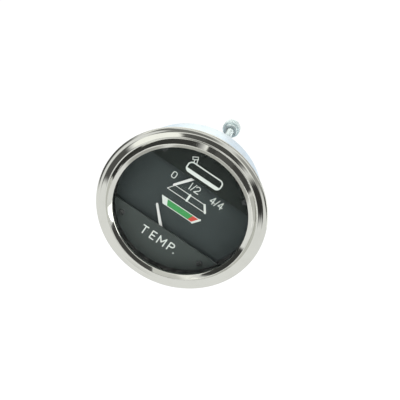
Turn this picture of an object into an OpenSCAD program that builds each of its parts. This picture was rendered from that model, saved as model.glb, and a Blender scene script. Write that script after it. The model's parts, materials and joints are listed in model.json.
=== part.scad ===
// Double gauge for fuel level and water temperature, for a round panel hole.
// Origin: centre of the bezel's rear face, where it seats on the panel. The dial faces -Y, and +Z is its top.

/* [Bezel] */
// How far the bezel reaches outside the can
rim_w = 8.9; // [8.4:0.1:10]
// Thickness of the pressed bezel sheet
bezel_sheet = 0.8; // [0.7:0.05:0.9]
// Width of the outer flange, from its edge to the foot of the raised ring
flange_w = 7; // [6.7:0.1:7.2]
// Rise of the flange towards the raised ring
flange_rise = 1.1; // [0.8:0.1:1.4]
// Width of the steep outer side of the raised ring
ring_side_w = 2.6; // [2.4:0.1:2.9]
// Width of the raised ring's slope down to the window
lip_w = 3.1; // [2.8:0.1:3.4]
// Rise of that slope from the window to the crest
lip_rise = 1.9; // [1.6:0.1:2.1]
// Depth of the rolled edge that lies on the glass
lip_t = 2.15; // [1.9:0.05:2.4]

/* [Case] */
// Outer radius of the drawn can
case_r = 50; // [46:0.5:60]
// Free depth between the movements and the can's bottom
rear_room = 2.9; // [1.6:0.1:12]
// Thickness of the can's sheet
case_sheet = 0.8; // [0.6:0.05:0.9]
// Outer radius of the can's rear corner
case_corner_r = 3; // [2:0.5:4]

/* [Glass] */
// Thickness of the glass
glass_t = 1.6; // [1.4:0.1:2]
// Free space round the glass inside the bezel's raised ring
glass_room = 0.2; // [0.1:0.05:0.25]
// Thickness of the rubber gasket under the glass
gasket_t = 0.5; // [0.4:0.1:0.8]

/* [Dial] */
// Depth of the dial's front face behind the panel face
dial_depth = 9; // [8.6:0.1:10]
// Thickness of the dial plate
dial_t = 0.8; // [0.6:0.1:1]
// Height of the raised covers' front over the dial
cover_rise = 4.8; // [4.6:0.1:5.4]
// Thickness of the raised covers
cover_t = 0.8; // [0.6:0.1:1]
// Height of each cover's straight edge over the dial's centre
cover_edge_z = 21.5; // [20.5:0.1:22]
// Distance of the cover screws from the black ring's wall
screw_edge = 4.7; // [4:0.1:5.5]
// Angle of the cover screws over the horizontal
screw_angle = 42.2; // [40:0.1:45]
// Wall of the black ring between dial and glass
ring_wall = 1; // [0.8:0.1:1.2]

/* [Scale print] */
// Thickness of the printed ink
ink_t = 0.12; // [0.1:0.01:0.2]
// Half width of a scale band at its short side
band_short = 12.2; // [11:0.1:13]
// Half width of a scale band at its long side
band_long = 15.6; // [15:0.1:17]
// Height of a band's long side over the dial's centre
band_near = 3.3; // [2.5:0.1:4]
// Height of a band's short side over the dial's centre
band_far = 8.2; // [7.5:0.1:9]
// Width of the thin scale lines
line_w = 0.45; // [0.35:0.05:0.8]
// Width of the thick scale marks
mark_w = 1.5; // [1.2:0.1:2]
// Height of the numerals over the dial's centre
numeral_z = 14.3; // [13.5:0.1:15]
// Height of a numeral
numeral_h = 5.3; // [4.5:0.1:5.5]
// Sideways place of the zero
zero_x = 16.7; // [16:0.1:18]
// Sideways place of the numeral for a full tank
full_x = 17.8; // [17:0.1:18.5]
// Height of the tank sign's middle over the cover's edge
sign_rise = 6.6; // [5.5:0.1:7.5]
// Width of the tank sign
sign_w = 27.4; // [24:0.2:28]
// Height of the tank sign
sign_h = 8.4; // [7:0.2:9]
// Distance of the lettering's middle from the cover's edge
legend_drop = 9; // [8:0.1:10.5]
// Height of the lettering
legend_h = 6.8; // [6:0.1:7]

/* [Pointers] */
// Distance of each pointer's pivot from the dial's centre
pivot_z = 27.5; // [27:0.1:28]
// Length of the fuel pointer from its pivot
fuel_len = 23; // [21:0.5:24]
// Length of the temperature pointer from its pivot
temp_len = 24.2; // [22:0.2:25]
// Angle of the resting fuel pointer from the vertical
fuel_rest = 36.3; // [34:0.1:38]
// Angle of the resting temperature pointer from the vertical
temp_rest = 40.5; // [38:0.1:42]
// Full travel of the fuel pointer
fuel_travel = 72; // [68:1:76]
// Full travel of the temperature pointer
temp_travel = 78; // [74:1:80]
// Thickness of the pointer's strip
pointer_t = 0.4; // [0.3:0.05:0.5]
// Radius of the pointer's spindle
spindle_r = 0.75; // [0.6:0.05:0.9]

/* [Movement] */
// Thickness of the coil former's front and rear walls
former_wall = 2; // [1.5:0.1:2.5]
// Radius of the magnet rotor
rotor_r = 6.5; // [6:0.1:6.8]
// Thickness of the magnet rotor
rotor_t = 5; // [4.6:0.1:5.2]
// Thickness of each coil winding
coil_t = 2; // [1.6:0.1:2.2]
// Width of each half of a coil
coil_w = 5; // [4.6:0.1:5]
// Wall of the steel shield cup
shield_wall = 0.6; // [0.5:0.1:0.8]

/* [Rear] */
// Distance of each mounting stud from the can's wall
stud_edge = 8.2; // [7.5:0.1:9]
// Radius of the mounting studs, as for an M5 thread
stud_r = 2.5; // [2.3:0.1:2.6]
// Length of the studs behind the can
stud_len = 41; // [38:0.5:48]
// Plain length of the studs at the can
shank_len = 17; // [14:0.5:18]
// Pitch of the stud thread
thread_pitch = 0.8; // [0.7:0.1:1]
// How far each stud stands out of its thumb nut
stud_beyond = 3; // [1:0.5:8]
// Radius of the thumb nuts
nut_r = 6.25; // [6:0.25:7.5]
// Length of the thumb nuts
nut_len = 8; // [6:0.5:8.5]
// Distance of the lamp holders' axis from the can's wall
lamp_edge = 15.2; // [14:0.1:17]
// Radius of a lamp holder's barrel
lamp_r = 6.6; // [6:0.1:6.8]
// Spacing of the terminal blades
terminal_gap = 8; // [7.6:0.1:8.2]
// Width of a terminal blade
blade_w = 6.3; // [5.6:0.1:6.4]
// Length of a terminal blade
blade_len = 9.4; // [8:0.2:11]

/* [Clearances] */
// Gap between pieces that lie loosely in each other
loose_gap = 0.3; // [0.25:0.05:0.4]
// Radial gap of a turning or screwed pair
running_gap = 0.05; // [0.03:0.01:0.08]
// Radial gap of a pressed pair
press_gap = 0.02; // [0.01:0.01:0.03]

/* [Hidden] */
$fn = 72;

// The two halves of the gauge: fuel above the centre, temperature below it
fuel = 1;
temp = -1;

// Radii of the bezel's rings, from the outside in
bezel_r = case_r + rim_w;
foot_r = bezel_r - flange_w;
crest_r = foot_r - ring_side_w;
window_r = crest_r - lip_w;

// Radii that follow the can's bore
bore_r = case_r - case_sheet;
insert_r = bore_r - loose_gap;
well_r = insert_r - ring_wall;

// Places on the dial and on the can's bottom
screw_place_r = well_r - screw_edge;
screw_x = screw_place_r * cos(screw_angle);
screw_z = screw_place_r * sin(screw_angle);
sign_z = cover_edge_z + sign_rise;
legend_z = cover_edge_z + legend_drop;
stud_z = bore_r - stud_edge;
lamp_x = bore_r - lamp_edge;

// Places along Y, from the glass to the dial. The panel face is at 0
flange_y = -bezel_sheet - case_sheet;
glass_rear_y = flange_y - gasket_t;
glass_front_y = glass_rear_y - glass_t;
dial_rear_y = dial_depth + dial_t;
cover_y = dial_depth - cover_rise;
pointer_gap = 0.7;
pointer_y = cover_y + cover_t + pointer_gap;

// Coil former: its posts stand at the corners, outside the windings
winding_gap = 0.1;
coil_split = 1.5;
coil_edge = coil_split + coil_w;
post_r = 1.2;
post_place = coil_edge + winding_gap + post_r;
former_w = 2 * (post_place + post_r);
rotor_side_gap = 0.7;
rotor_end_gap = 0.5;
chamber_r = rotor_r + rotor_side_gap;
chamber_d = rotor_t + 2 * rotor_end_gap;
former_d = chamber_d + 2 * former_wall;

// Windings and shield, measured from the middle of the former, then their places along Y
inner_front = former_d / 2 + winding_gap;
outer_front = inner_front + coil_t + winding_gap;
outer_end = outer_front + coil_t;
dial_gap = 0.9;
shield_gap = 0.7;
core_y = dial_rear_y + dial_gap + outer_end;
shield_side_gap = 0.45;
shield_r = norm([former_w / 2 + winding_gap + coil_t, coil_edge]) + shield_side_gap;
shield_end = core_y + outer_end + shield_gap;
small_screw_r = 0.7;
small_screw_bite = 4.5;
small_head_r = 1.6;
small_head_t = 0.9;

// The can is as deep as the movements and the room behind them need
floor_y = shield_end + shield_wall + small_head_t + rear_room;
case_depth = floor_y + case_sheet;

// Screws of the dial pack: an M3 shank, its clearance hole and its heads
screw_r = 1.45;
screw_hole_r = screw_r + 0.15;
cover_head_r = 2.15;
cover_head_t = 1;
case_head_r = 2.6;
case_head_t = 1.6;
pillar_r = 3;
screw_bite = 6;

function arc(cx, cy, rx, ry, from, to, steps) =
    [for (i = [0:steps]) let (a = from + (to - from) * i / steps) [cx + rx * cos(a), cy + ry * sin(a)]];

// Points given as radius and height in front of the panel face, turned to radius and Y
function front(points) = [for (p = points) [p[0], -p[1]]];

// Turns a profile of radius and Y about the gauge's axis
module lathe() {
    rotate([-90, 0, 0]) rotate_extrude() children();
}

// Raises a shape that is drawn as seen from the front, from the plane y towards the viewer
module facing(y, t) {
    translate([0, y, 0]) rotate([90, 0, 0]) linear_extrude(height = t) children();
}

// Round bar along Y
module rod(x, z, y0, y1, r) {
    translate([x, y0, z]) rotate([-90, 0, 0]) cylinder(r = r, h = y1 - y0);
}

// Places one child at the four cover screws
module at_corners() {
    for (sx = [-1, 1], sz = [-1, 1]) translate([sx * screw_x, 0, sz * screw_z]) children();
}

// Places one child on the pivot of a half, with +Z pointing away from the dial's centre
module on_pivot(half) {
    translate([0, 0, half * pivot_z]) rotate([0, half == fuel ? 0 : 180, 0]) children();
}

// A straight printed or stamped line with round ends
module bar(p, q, w) {
    d = q - p;
    translate(p) rotate(atan2(d[1], d[0])) translate([0, -w / 2]) square([norm(d), w]);
    translate(p) circle(d = w, $fn = 24);
    translate(q) circle(d = w, $fn = 24);
}

// A line through several points
module stroke(points, w) {
    for (i = [1:len(points) - 1]) bar(points[i - 1], points[i], w);
}

// A rectangle with round corners, centred
module round_box(w, h, r) {
    square([w - 2 * r, h], center = true);
    square([w, h - 2 * r], center = true);
    for (sx = [-1, 1], sy = [-1, 1]) translate([sx * (w / 2 - r), sy * (h / 2 - r)]) circle(r = r);
}

// Bezel: a pressed ring, crimped round the can's flange

clamp_h = -glass_front_y;
edge_h = bezel_sheet * 2 + case_sheet;
edge_r = bezel_r - edge_h / 2;
crimp_gap = 1.5;
slot_r = bezel_r - bezel_sheet;

// Corners of the section, as radius and height, before they are rounded
foot = [foot_r, edge_h + flange_rise];
crest = [crest_r, clamp_h + lip_t + lip_rise];
lip = [window_r, clamp_h + lip_t];

// The same corners on the sheet's underside, and the width of the roll on the glass
under_foot = foot - [0.6, 1] * bezel_sheet;
under_crest = crest - [0.05, 1.8] * bezel_sheet;
roll_w = 1.3;
roll_gap = 0.95;

// A point of the flange, which rises gently and ends level
function flange(share, inset) = [
    edge_r + (foot_r - edge_r) * share,
    edge_h + flange_rise * (1 - cos(180 * share)) / 2 - inset
];

// Rounds the corner q between its neighbours p and s, over the given reach
function bend(p, q, s, reach, steps) = [
    for (i = [0:steps])
        let (t = i / steps, a = q + (p - q) * reach / norm(p - q), b = q + (s - q) * reach / norm(s - q))
            a * pow(1 - t, 2) + q * 2 * t * (1 - t) + b * t * t
];

function bezel_front() = concat(
    [[case_r + crimp_gap, 0]],
    arc(edge_r, edge_h / 2, edge_h / 2, edge_h / 2, -90, 90, 10),
    [for (i = [1:6]) flange(i / 8, 0)],
    bend(flange(6 / 8, 0), foot, crest, 0.35, 4),
    bend(foot, crest, lip, 0.5, 6),
    bend(crest, lip, [window_r, clamp_h], 0.35, 4)
);

function bezel_back() = concat(
    [[window_r, clamp_h], [window_r + roll_w, clamp_h]],
    [[window_r + roll_w, lip[1] + lip_rise * roll_w / lip_w - roll_gap], under_crest, under_foot],
    [for (i = [7:-1:0]) flange(i / 8, bezel_sheet)],
    [[slot_r, edge_h - bezel_sheet], [slot_r, bezel_sheet], [case_r + crimp_gap, bezel_sheet]]
);

module bezel() {
    color([0.86, 0.86, 0.84]) lathe() polygon(front(concat(bezel_front(), bezel_back())));
}

// The glass ends short of the raised ring's inner face, where that passes the glass's front edge
seat_share = (under_crest[1] - clamp_h) / (under_crest[1] - under_foot[1]);
glass_r = under_crest[0] + (under_foot[0] - under_crest[0]) * seat_share - glass_room;

module glass() {
    edge = 0.25;
    color([0.8, 0.9, 0.92, 0.3]) lathe() polygon([
        [0, glass_front_y], [glass_r - edge, glass_front_y], [glass_r, glass_front_y + edge],
        [glass_r, glass_rear_y - edge], [glass_r - edge, glass_rear_y], [0, glass_rear_y]
    ]);
}

module glass_gasket() {
    color([0.08, 0.08, 0.08]) lathe()
        translate([bore_r, glass_rear_y]) square([glass_r - bore_r, gasket_t]);
}

// Case: a drawn can with a flange in front

corner_in_r = max(case_corner_r - case_sheet, 0.5);

function case_profile() = concat(
    [[0, case_depth]],
    arc(case_r - case_corner_r, case_depth - case_corner_r, case_corner_r, case_corner_r, 90, 0, 8),
    [[case_r, -bezel_sheet], [slot_r - loose_gap, -bezel_sheet]],
    [[slot_r - loose_gap, flange_y], [bore_r, flange_y]],
    arc(bore_r - corner_in_r, floor_y - corner_in_r, corner_in_r, corner_in_r, 0, 90, 6),
    [[0, floor_y]]
);

module case() {
    wall = [floor_y - 1, case_depth + 1];
    color([0.82, 0.87, 0.9]) difference() {
        lathe() polygon(case_profile());
        at_corners() rod(0, 0, wall[0], wall[1], screw_hole_r);
        for (s = [-1, 1]) {
            rod(0, s * stud_z, wall[0], wall[1], stud_neck_r + running_gap);
            rod(s * lamp_x, 0, wall[0], wall[1], lamp_r + loose_gap);
        }
        for (x = terminal_places) rod(x, 0, wall[0], wall[1], rivet_r + rivet_room);
    }
}

// Ring with a foot that holds the dial's edge, and keeps the glass off it
module spacer_ring() {
    foot = 0.8;
    color([0.05, 0.05, 0.05]) lathe() polygon([
        [insert_r, glass_rear_y], [insert_r, dial_depth], [well_r - foot, dial_depth],
        [well_r - foot, dial_depth - foot], [well_r, dial_depth - foot], [well_r, glass_rear_y]
    ]);
}

// Dial pack

window_w = 8;
window_h = 3.5;
window_x = 18;
window_edge = 9.9;
window_z = insert_r - window_edge;

module dial_plate() {
    hole = [dial_depth - 1, dial_rear_y + 1];
    color([0.17, 0.19, 0.19]) difference() {
        rod(0, 0, dial_depth, dial_rear_y, insert_r);
        at_corners() rod(0, 0, hole[0], hole[1], screw_hole_r);
        for (half = [fuel, temp]) on_pivot(half) {
            rod(0, 0, hole[0], hole[1], spindle_r * 2.5);
            for (s = [-1, 1]) rod(s * post_place, post_place, hole[0], hole[1], small_hole_r);
            stop_places(half) rod(0, 0, hole[0], hole[1], stop_r + press_gap);
            for (s = [-1, 1]) translate([s * window_x, hole[1], window_z - pivot_z])
                rotate([90, 0, 0]) linear_extrude(height = hole[1] - hole[0])
                    round_box(window_w, window_h, 1);
        }
    }
}

module cover_shape() {
    intersection() {
        circle(r = well_r - loose_gap, $fn = 120);
        translate([-case_r, cover_edge_z]) square([2 * case_r, case_r]);
    }
}

module cover(half) {
    difference() {
        facing(cover_y + cover_t, cover_t) mirror([0, half == fuel ? 0 : 1]) cover_shape();
        at_corners() rod(0, 0, cover_y - 1, cover_y + cover_t + 1, screw_hole_r);
    }
}

module upper_cover() {
    color([0.16, 0.17, 0.17]) cover(fuel);
}

module lower_cover() {
    color([0.26, 0.28, 0.27]) cover(temp);
}

module cover_spacers() {
    color([0.7, 0.7, 0.68]) difference() {
        at_corners() rod(0, 0, cover_y + cover_t, dial_depth, pillar_r - 0.4);
        at_corners() rod(0, 0, cover_y, dial_rear_y, screw_hole_r);
    }
}

module cover_screws() {
    slot_w = 0.6;
    color([0.1, 0.1, 0.1]) at_corners() {
        difference() {
            rod(0, 0, cover_y - cover_head_t, cover_y, cover_head_r);
            translate([-cover_head_r, cover_y - cover_head_t - 1, -slot_w / 2])
                cube([2 * cover_head_r, 1.5, slot_w]);
        }
        rod(0, 0, cover_y, dial_rear_y + screw_bite, screw_r);
    }
}

module dial_pillars() {
    color([0.75, 0.72, 0.6]) difference() {
        at_corners() rod(0, 0, dial_rear_y, floor_y, pillar_r);
        at_corners() {
            rod(0, 0, dial_rear_y - 1, dial_rear_y + screw_bite + 1, screw_r + running_gap);
            rod(0, 0, floor_y - screw_bite - 1, floor_y + 1, screw_r + running_gap);
        }
    }
}

module case_screws() {
    slot_w = 0.8;
    color([0.75, 0.76, 0.75]) at_corners() {
        difference() {
            rod(0, 0, case_depth, case_depth + case_head_t, case_head_r);
            translate([-case_head_r, case_depth + case_head_t - 0.8, -slot_w / 2])
                cube([2 * case_head_r, 1.5, slot_w]);
        }
        rod(0, 0, floor_y - screw_bite, case_depth, screw_r);
    }
}

// Printing: thin raised ink, drawn as seen from the front

module band_outline() {
    stroke([[-band_long, band_near], [-band_short, band_far], [band_short, band_far]], line_w);
    stroke([[-band_long, band_near], [band_long, band_near]], line_w);
    bar([band_long - mark_w / 3, band_near], [band_short - mark_w / 3, band_far], mark_w);
}

// A place across the band at the height z, on the line from the pivot through x in the band's middle
function radial_x(x, z) = x * (pivot_z - z) / (pivot_z - (band_near + band_far) / 2);

// Part of a band's inside between two places across its middle, cut off by the band's own slanted ends
module band_fill(x0, x1) {
    inset = line_w / 2;
    intersection() {
        polygon([
            [-band_long, band_near + inset], [band_long, band_near + inset],
            [band_short, band_far - inset], [-band_short, band_far - inset]
        ]);
        polygon([
            [radial_x(x0, band_near), band_near], [radial_x(x1, band_near), band_near],
            [radial_x(x1, band_far), band_far], [radial_x(x0, band_far), band_far]
        ]);
    }
}

cold_x = -10;
hot_x = 8.8;
numeral_w = 0.66 * numeral_h;
numeral_line = 0.6;

// Points of a numeral, given as shares of its width and height
function numeral(points) =
    [for (p = points) [(p[0] - 0.5) * numeral_w, (p[1] - 0.5) * numeral_h]];

module zero() {
    inner_w = numeral_w - 2 * numeral_line;
    difference() {
        round_box(numeral_w, numeral_h, numeral_w * 0.45);
        round_box(inner_w, numeral_h - 2 * numeral_line, inner_w * 0.45);
    }
}

module four() {
    stroke(numeral([[1, 0.3], [0.05, 0.3], [0.68, 1], [0.68, 0]]), numeral_line);
}

module slash() {
    stroke(numeral([[0.25, -0.02], [0.75, 1.02]]), numeral_line * 0.9);
}

module two() {
    bow = arc(0.48, 0.7, 0.44, 0.28, 165, -35, 8);
    stroke(numeral(concat(bow, [[0.05, 0.04], [0.98, 0.04]])), numeral_line);
}

module dial_print() {
    color([0.9, 0.94, 0.9]) facing(dial_depth, ink_t) {
        band_outline();
        bar([0, band_near], [0, band_far], mark_w);
        mirror([0, 1]) {
            band_outline();
            band_fill(-band_long, cold_x);
        }
        translate([-zero_x, numeral_z]) zero();
        translate([-numeral_w * 0.95, numeral_z]) bar([0, numeral_h / 2], [0, -numeral_h / 2], numeral_line);
        translate([-numeral_w * 0.3, numeral_z]) slash();
        translate([numeral_w * 0.6, numeral_z]) two();
        for (s = [-1, 1]) translate([full_x + s * numeral_w * 0.9, numeral_z]) four();
        translate([full_x, numeral_z]) slash();
    }
}

module green_zone() {
    color([0.3, 0.62, 0.38]) facing(dial_depth, ink_t) mirror([0, 1]) difference() {
        band_fill(cold_x + running_gap, hot_x - running_gap);
        band_outline();
    }
}

module red_zone() {
    color([0.75, 0.25, 0.18]) facing(dial_depth, ink_t) mirror([0, 1]) difference() {
        band_fill(hot_x + running_gap, band_long);
        band_outline();
    }
}

sign_line = 0.9;
sign_corner = 3.4;

// Fuel tank sign: a part-filled tank with a tilted filler cap
module tank_symbol() {
    fill_line = 0.19 * sign_h;
    cap = [4.2, 2.4];
    cap_line = 0.55;
    cap_tilt = 32;
    cap_place = [2.2 - sign_w / 2, sign_h / 2 + 2.9];
    neck_foot_z = sign_h / 2 - sign_line / 3;
    color([0.9, 0.94, 0.9]) facing(cover_y, ink_t) translate([0, sign_z]) {
        difference() {
            round_box(sign_w, sign_h, sign_corner);
            intersection() {
                round_box(sign_w - 2 * sign_line, sign_h - 2 * sign_line, sign_corner - sign_line);
                translate([-sign_w / 2, -fill_line]) square([sign_w, sign_h]);
            }
        }
        translate(cap_place) rotate(cap_tilt) difference() {
            square(cap, center = true);
            square(cap - [2, 2] * cap_line, center = true);
        }
        for (side = [[0.2, -0.9, 2.7], [1.7, 0.3, 5]])
            stroke([cap_place + [side[0], side[1]], [side[2] - sign_w / 2, neck_foot_z]], numeral_line);
    }
}

legend_line = 0.85;
letter_h = legend_h - legend_line;

// One letter: strokes in a box of width and height 1. Its place and width are shares of its height
module letter(place, width, strokes) {
    for (points = strokes)
        stroke([for (p = points) [place + p[0] * width, p[1]] * letter_h], legend_line);
}

// Plain stroke lettering that says what the lower half shows
module temp_legend() {
    bow = arc(0.55, 0.75, 0.45, 0.25, 90, -90, 8);
    color([0.9, 0.94, 0.9]) facing(cover_y, ink_t) translate([0, -legend_z - letter_h / 2]) {
        letter(-2.41, 0.63, [[[0, 1], [1, 1]], [[0.5, 1], [0.5, 0]]]);
        letter(-1.13, 0.5, [[[1, 1], [0, 1], [0, 0], [1, 0]], [[0, 0.5], [0.9, 0.5]]]);
        letter(-0.12, 0.85, [[[0, 0], [0, 1], [0.5, 0.35], [1, 1], [1, 0]]]);
        letter(1.28, 0.62, [concat([[0, 0], [0, 1]], bow, [[0, 0.5]])]);
        translate([2.2 * letter_h, 0]) circle(d = legend_line * 1.1);
    }
}

// Pointers, each with its hub, tail and balance weight

hub_r = 2.6;
hub_len = 2;
root_w = 2.3;
tip_w = 1.6;
tip_len = 0.6;
tail_len = 8;
weight_r = 2.6;
weight_t = 1.2;

module pointer(half, length, rest) {
    color([0.93, 0.94, 0.92]) on_pivot(half) difference() {
        union() {
            facing(pointer_y + pointer_t, pointer_t) rotate(-half * rest) {
                polygon([
                    [-root_w / 2, 0], [-tip_w / 2, tip_len - length], [-tip_w / 4, -length],
                    [tip_w / 4, -length], [tip_w / 2, tip_len - length], [root_w / 2, 0]
                ]);
                translate([-tip_w / 2, 0]) square([tip_w, tail_len]);
                circle(r = hub_r);
            }
            facing(pointer_y + weight_t, weight_t) rotate(-half * rest)
                translate([0, tail_len]) circle(r = weight_r);
            rod(0, 0, pointer_y, pointer_y + hub_len, hub_r * 0.8);
        }
        rod(0, 0, pointer_y - 1, pointer_y + hub_len + 1, spindle_r + press_gap);
    }
}

module fuel_pointer() {
    pointer(fuel, fuel_len, fuel_rest);
}

module temp_pointer() {
    pointer(temp, temp_len, temp_rest);
}

// Stop pins, which the pointer's root meets at the ends of its travel

stop_r = 0.6;
stop_d = 5;
stop_angle = asin((stop_r + root_w / 2 + loose_gap) / stop_d);

// Places one child on both stops of a half
module stop_places(half) {
    rest = half == fuel ? fuel_rest : temp_rest;
    travel = half == fuel ? fuel_travel : temp_travel;
    for (a = [-rest - stop_angle, travel - rest + stop_angle])
        translate([half * stop_d * sin(a), 0, -stop_d * cos(a)]) children();
}

module stop_pins() {
    color([0.75, 0.72, 0.6]) for (half = [fuel, temp]) on_pivot(half) stop_places(half)
        rod(0, 0, pointer_y - loose_gap, dial_rear_y, stop_r);
}

// Movement: a magnet on the spindle, in a former that carries two crossed coils

bearing_end = 0.5;

module spindle(half) {
    color([0.75, 0.72, 0.6]) on_pivot(half)
        rod(0, 0, pointer_y, core_y + former_d / 2 - bearing_end - winding_gap, spindle_r);
}

module fuel_spindle() {
    spindle(fuel);
}

module temp_spindle() {
    spindle(temp);
}

module rotor(half) {
    color([0.3, 0.3, 0.32]) on_pivot(half) difference() {
        rod(0, 0, core_y - rotor_t / 2, core_y + rotor_t / 2, rotor_r);
        rod(0, 0, core_y - rotor_t, core_y + rotor_t, spindle_r + press_gap);
    }
}

module fuel_rotor() {
    rotor(fuel);
}

module temp_rotor() {
    rotor(temp);
}

small_hole_d = small_screw_bite + loose_gap;
small_hole_r = small_screw_r + running_gap;

// Half of the former, whose posts reach the dial in front or the shield's bottom behind
module former(half, side) {
    y0 = side < 0 ? core_y - former_d / 2 : core_y;
    post = side < 0 ? [dial_rear_y, core_y] : [core_y, shield_end];
    bore = side < 0 ? [core_y - former_d, core_y] : [core_y - 1, core_y + former_d / 2 - bearing_end];
    color([0.88, 0.87, 0.8]) on_pivot(half) difference() {
        union() {
            translate([-former_w / 2, y0, -former_w / 2]) cube([former_w, former_d / 2, former_w]);
            for (sx = [-1, 1], sz = [-1, 1]) rod(sx * post_place, sz * post_place, post[0], post[1], post_r);
        }
        rod(0, 0, core_y - chamber_d / 2, core_y + chamber_d / 2, chamber_r);
        rod(0, 0, bore[0], bore[1], spindle_r + running_gap);
        if (side < 0) {
            for (s = [-1, 1])
                rod(s * post_place, post_place, post[0] - 1, post[0] + small_hole_d, small_hole_r);
            rod(-post_place, -post_place, post[0] - 1, post[0] + magnet_len, magnet_r + press_gap);
        } else {
            for (s = [-1, 1])
                rod(s * post_place, s * post_place, post[1] - small_hole_d, post[1] + 1, small_hole_r);
        }
    }
}

module fuel_former_front() {
    former(fuel, -1);
}

module fuel_former_rear() {
    former(fuel, 1);
}

module temp_former_front() {
    former(temp, -1);
}

module temp_former_rear() {
    former(temp, 1);
}

// One coil: two flat windings, one on each side of the spindle.
// half_w and half_d are half the width and half the depth of the space inside a winding
module coil(half_w, half_d) {
    for (s = [-1, 1]) translate([s * (coil_split + coil_w / 2), core_y, 0]) rotate([0, 90, 0])
        linear_extrude(height = coil_w, center = true) difference() {
            round_box(2 * (half_w + coil_t), 2 * (half_d + coil_t), coil_t);
            square([2 * half_w, 2 * half_d], center = true);
        }
}

module inner_coil(half) {
    color([0.7, 0.35, 0.15]) on_pivot(half) coil(former_w / 2 + winding_gap, inner_front);
}

module outer_coil(half) {
    color([0.75, 0.4, 0.18]) on_pivot(half) rotate([0, 90, 0]) coil(former_w / 2 + winding_gap, outer_front);
}

module fuel_inner_coil() {
    inner_coil(fuel);
}

module fuel_outer_coil() {
    outer_coil(fuel);
}

module temp_inner_coil() {
    inner_coil(temp);
}

module temp_outer_coil() {
    outer_coil(temp);
}

module shield(half) {
    color([0.72, 0.73, 0.74]) on_pivot(half) difference() {
        rod(0, 0, dial_rear_y + loose_gap, shield_end + shield_wall, shield_r + shield_wall);
        rod(0, 0, dial_rear_y, shield_end, shield_r);
        for (s = [-1, 1]) rod(s * post_place, s * post_place, shield_end - 1, shield_end + 2, small_hole_r);
    }
}

module fuel_shield() {
    shield(fuel);
}

module temp_shield() {
    shield(temp);
}

magnet_r = 0.7;
magnet_len = 3.5;

// Small magnets that pull the rotors back when the current is off
module return_magnets() {
    color([0.3, 0.3, 0.32]) for (half = [fuel, temp]) on_pivot(half)
        rod(-post_place, -post_place, dial_rear_y, dial_rear_y + magnet_len, magnet_r);
}

module movement_screws() {
    color([0.75, 0.76, 0.75]) for (half = [fuel, temp]) on_pivot(half) for (s = [-1, 1])
        translate([s * post_place, 0, post_place]) {
            rod(0, 0, dial_depth - small_head_t, dial_depth, small_head_r);
            rod(0, 0, dial_depth, dial_rear_y + small_screw_bite, small_screw_r);
        }
}

module shield_screws() {
    seat = shield_end + shield_wall;
    color([0.75, 0.76, 0.75]) for (half = [fuel, temp]) on_pivot(half) for (s = [-1, 1])
        translate([s * post_place, 0, s * post_place]) {
            rod(0, 0, seat, seat + small_head_t, small_head_r);
            rod(0, 0, shield_end - small_screw_bite, seat, small_screw_r);
        }
}

// Terminals: blades riveted to two insulating strips, one on each side of the can's back

terminal_places = [for (i = [-1.5:1:1.5]) i * terminal_gap];
strip_t = 1.6;
strip_w = 10;
strip_len = 3 * terminal_gap + strip_w;
rivet_r = 1.4;
rivet_room = 1;
rivet_head_r = 2.2;
rivet_head_t = 0.8;
blade_t = 0.8;

module strip(y) {
    color([0.42, 0.24, 0.12]) difference() {
        facing(y + strip_t, strip_t) round_box(strip_len, strip_w, 1.5);
        for (x = terminal_places) rod(x, 0, y - 1, y + strip_t + 1, rivet_r + running_gap);
    }
}

module terminal_strip_outer() {
    strip(case_depth);
}

module terminal_strip_inner() {
    strip(floor_y - strip_t);
}

module terminal_blades() {
    foot_y = case_depth + strip_t;
    foot_l = 7;
    tip = 1;
    color([0.8, 0.68, 0.35]) for (x = terminal_places) difference() {
        translate([x, 0, 0]) union() {
            translate([-blade_w / 2, foot_y, -foot_l / 2]) cube([blade_w, blade_t, foot_l]);
            translate([0, foot_y, foot_l / 2]) linear_extrude(height = blade_t) polygon([
                [-blade_w / 2, 0], [blade_w / 2, 0],
                [blade_w / 2, blade_len - tip], [blade_w / 2 - tip, blade_len],
                [tip - blade_w / 2, blade_len], [-blade_w / 2, blade_len - tip]
            ]);
        }
        rod(x, 0, foot_y - 1, foot_y + blade_t + 1, rivet_r + running_gap);
        translate([x, foot_y + blade_len * 0.7, 0]) cylinder(r = 0.8, h = foot_l + 2);
    }
}

module terminal_rivets() {
    outer = case_depth + strip_t + blade_t;
    inner = floor_y - strip_t;
    color([0.8, 0.78, 0.7]) for (x = terminal_places) {
        rod(x, 0, inner, outer, rivet_r);
        rod(x, 0, outer, outer + rivet_head_t, rivet_head_r);
        rod(x, 0, inner - rivet_head_t, inner, rivet_head_r);
    }
}

// Dial lamps, pushed in from behind

lamp_flange_r = lamp_r + 1.6;
lamp_flange_t = 1.5;
lamp_tail = 6;
lamp_reach = 7;
lamp_wall = 1.7;
bulb_r = lamp_r - lamp_wall - loose_gap;
bulb_len = 15;
contact_r = 1;
contact_len = 3;
contact_head_r = 2.6;
contact_head_t = 0.6;

module lamp_holders() {
    color([0.12, 0.12, 0.12]) for (s = [-1, 1]) difference() {
        union() {
            rod(s * lamp_x, 0, case_depth, case_depth + lamp_flange_t, lamp_flange_r);
            rod(s * lamp_x, 0, floor_y - lamp_reach, case_depth + lamp_flange_t, lamp_r);
            rod(s * lamp_x, 0, case_depth, case_depth + lamp_flange_t + lamp_tail, lamp_r - contact_r);
        }
        rod(s * lamp_x, 0, floor_y - lamp_reach - 1, floor_y, bulb_r + loose_gap);
        rod(s * lamp_x, 0, case_depth, case_depth + lamp_flange_t + lamp_tail + 1, contact_r + press_gap);
    }
}

module lamp_contacts() {
    end = case_depth + lamp_flange_t + lamp_tail;
    color([0.8, 0.68, 0.35]) for (s = [-1, 1]) {
        rod(s * lamp_x, 0, case_depth, end + contact_len, contact_r);
        rod(s * lamp_x, 0, end, end + contact_head_t, contact_head_r);
    }
}

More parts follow.
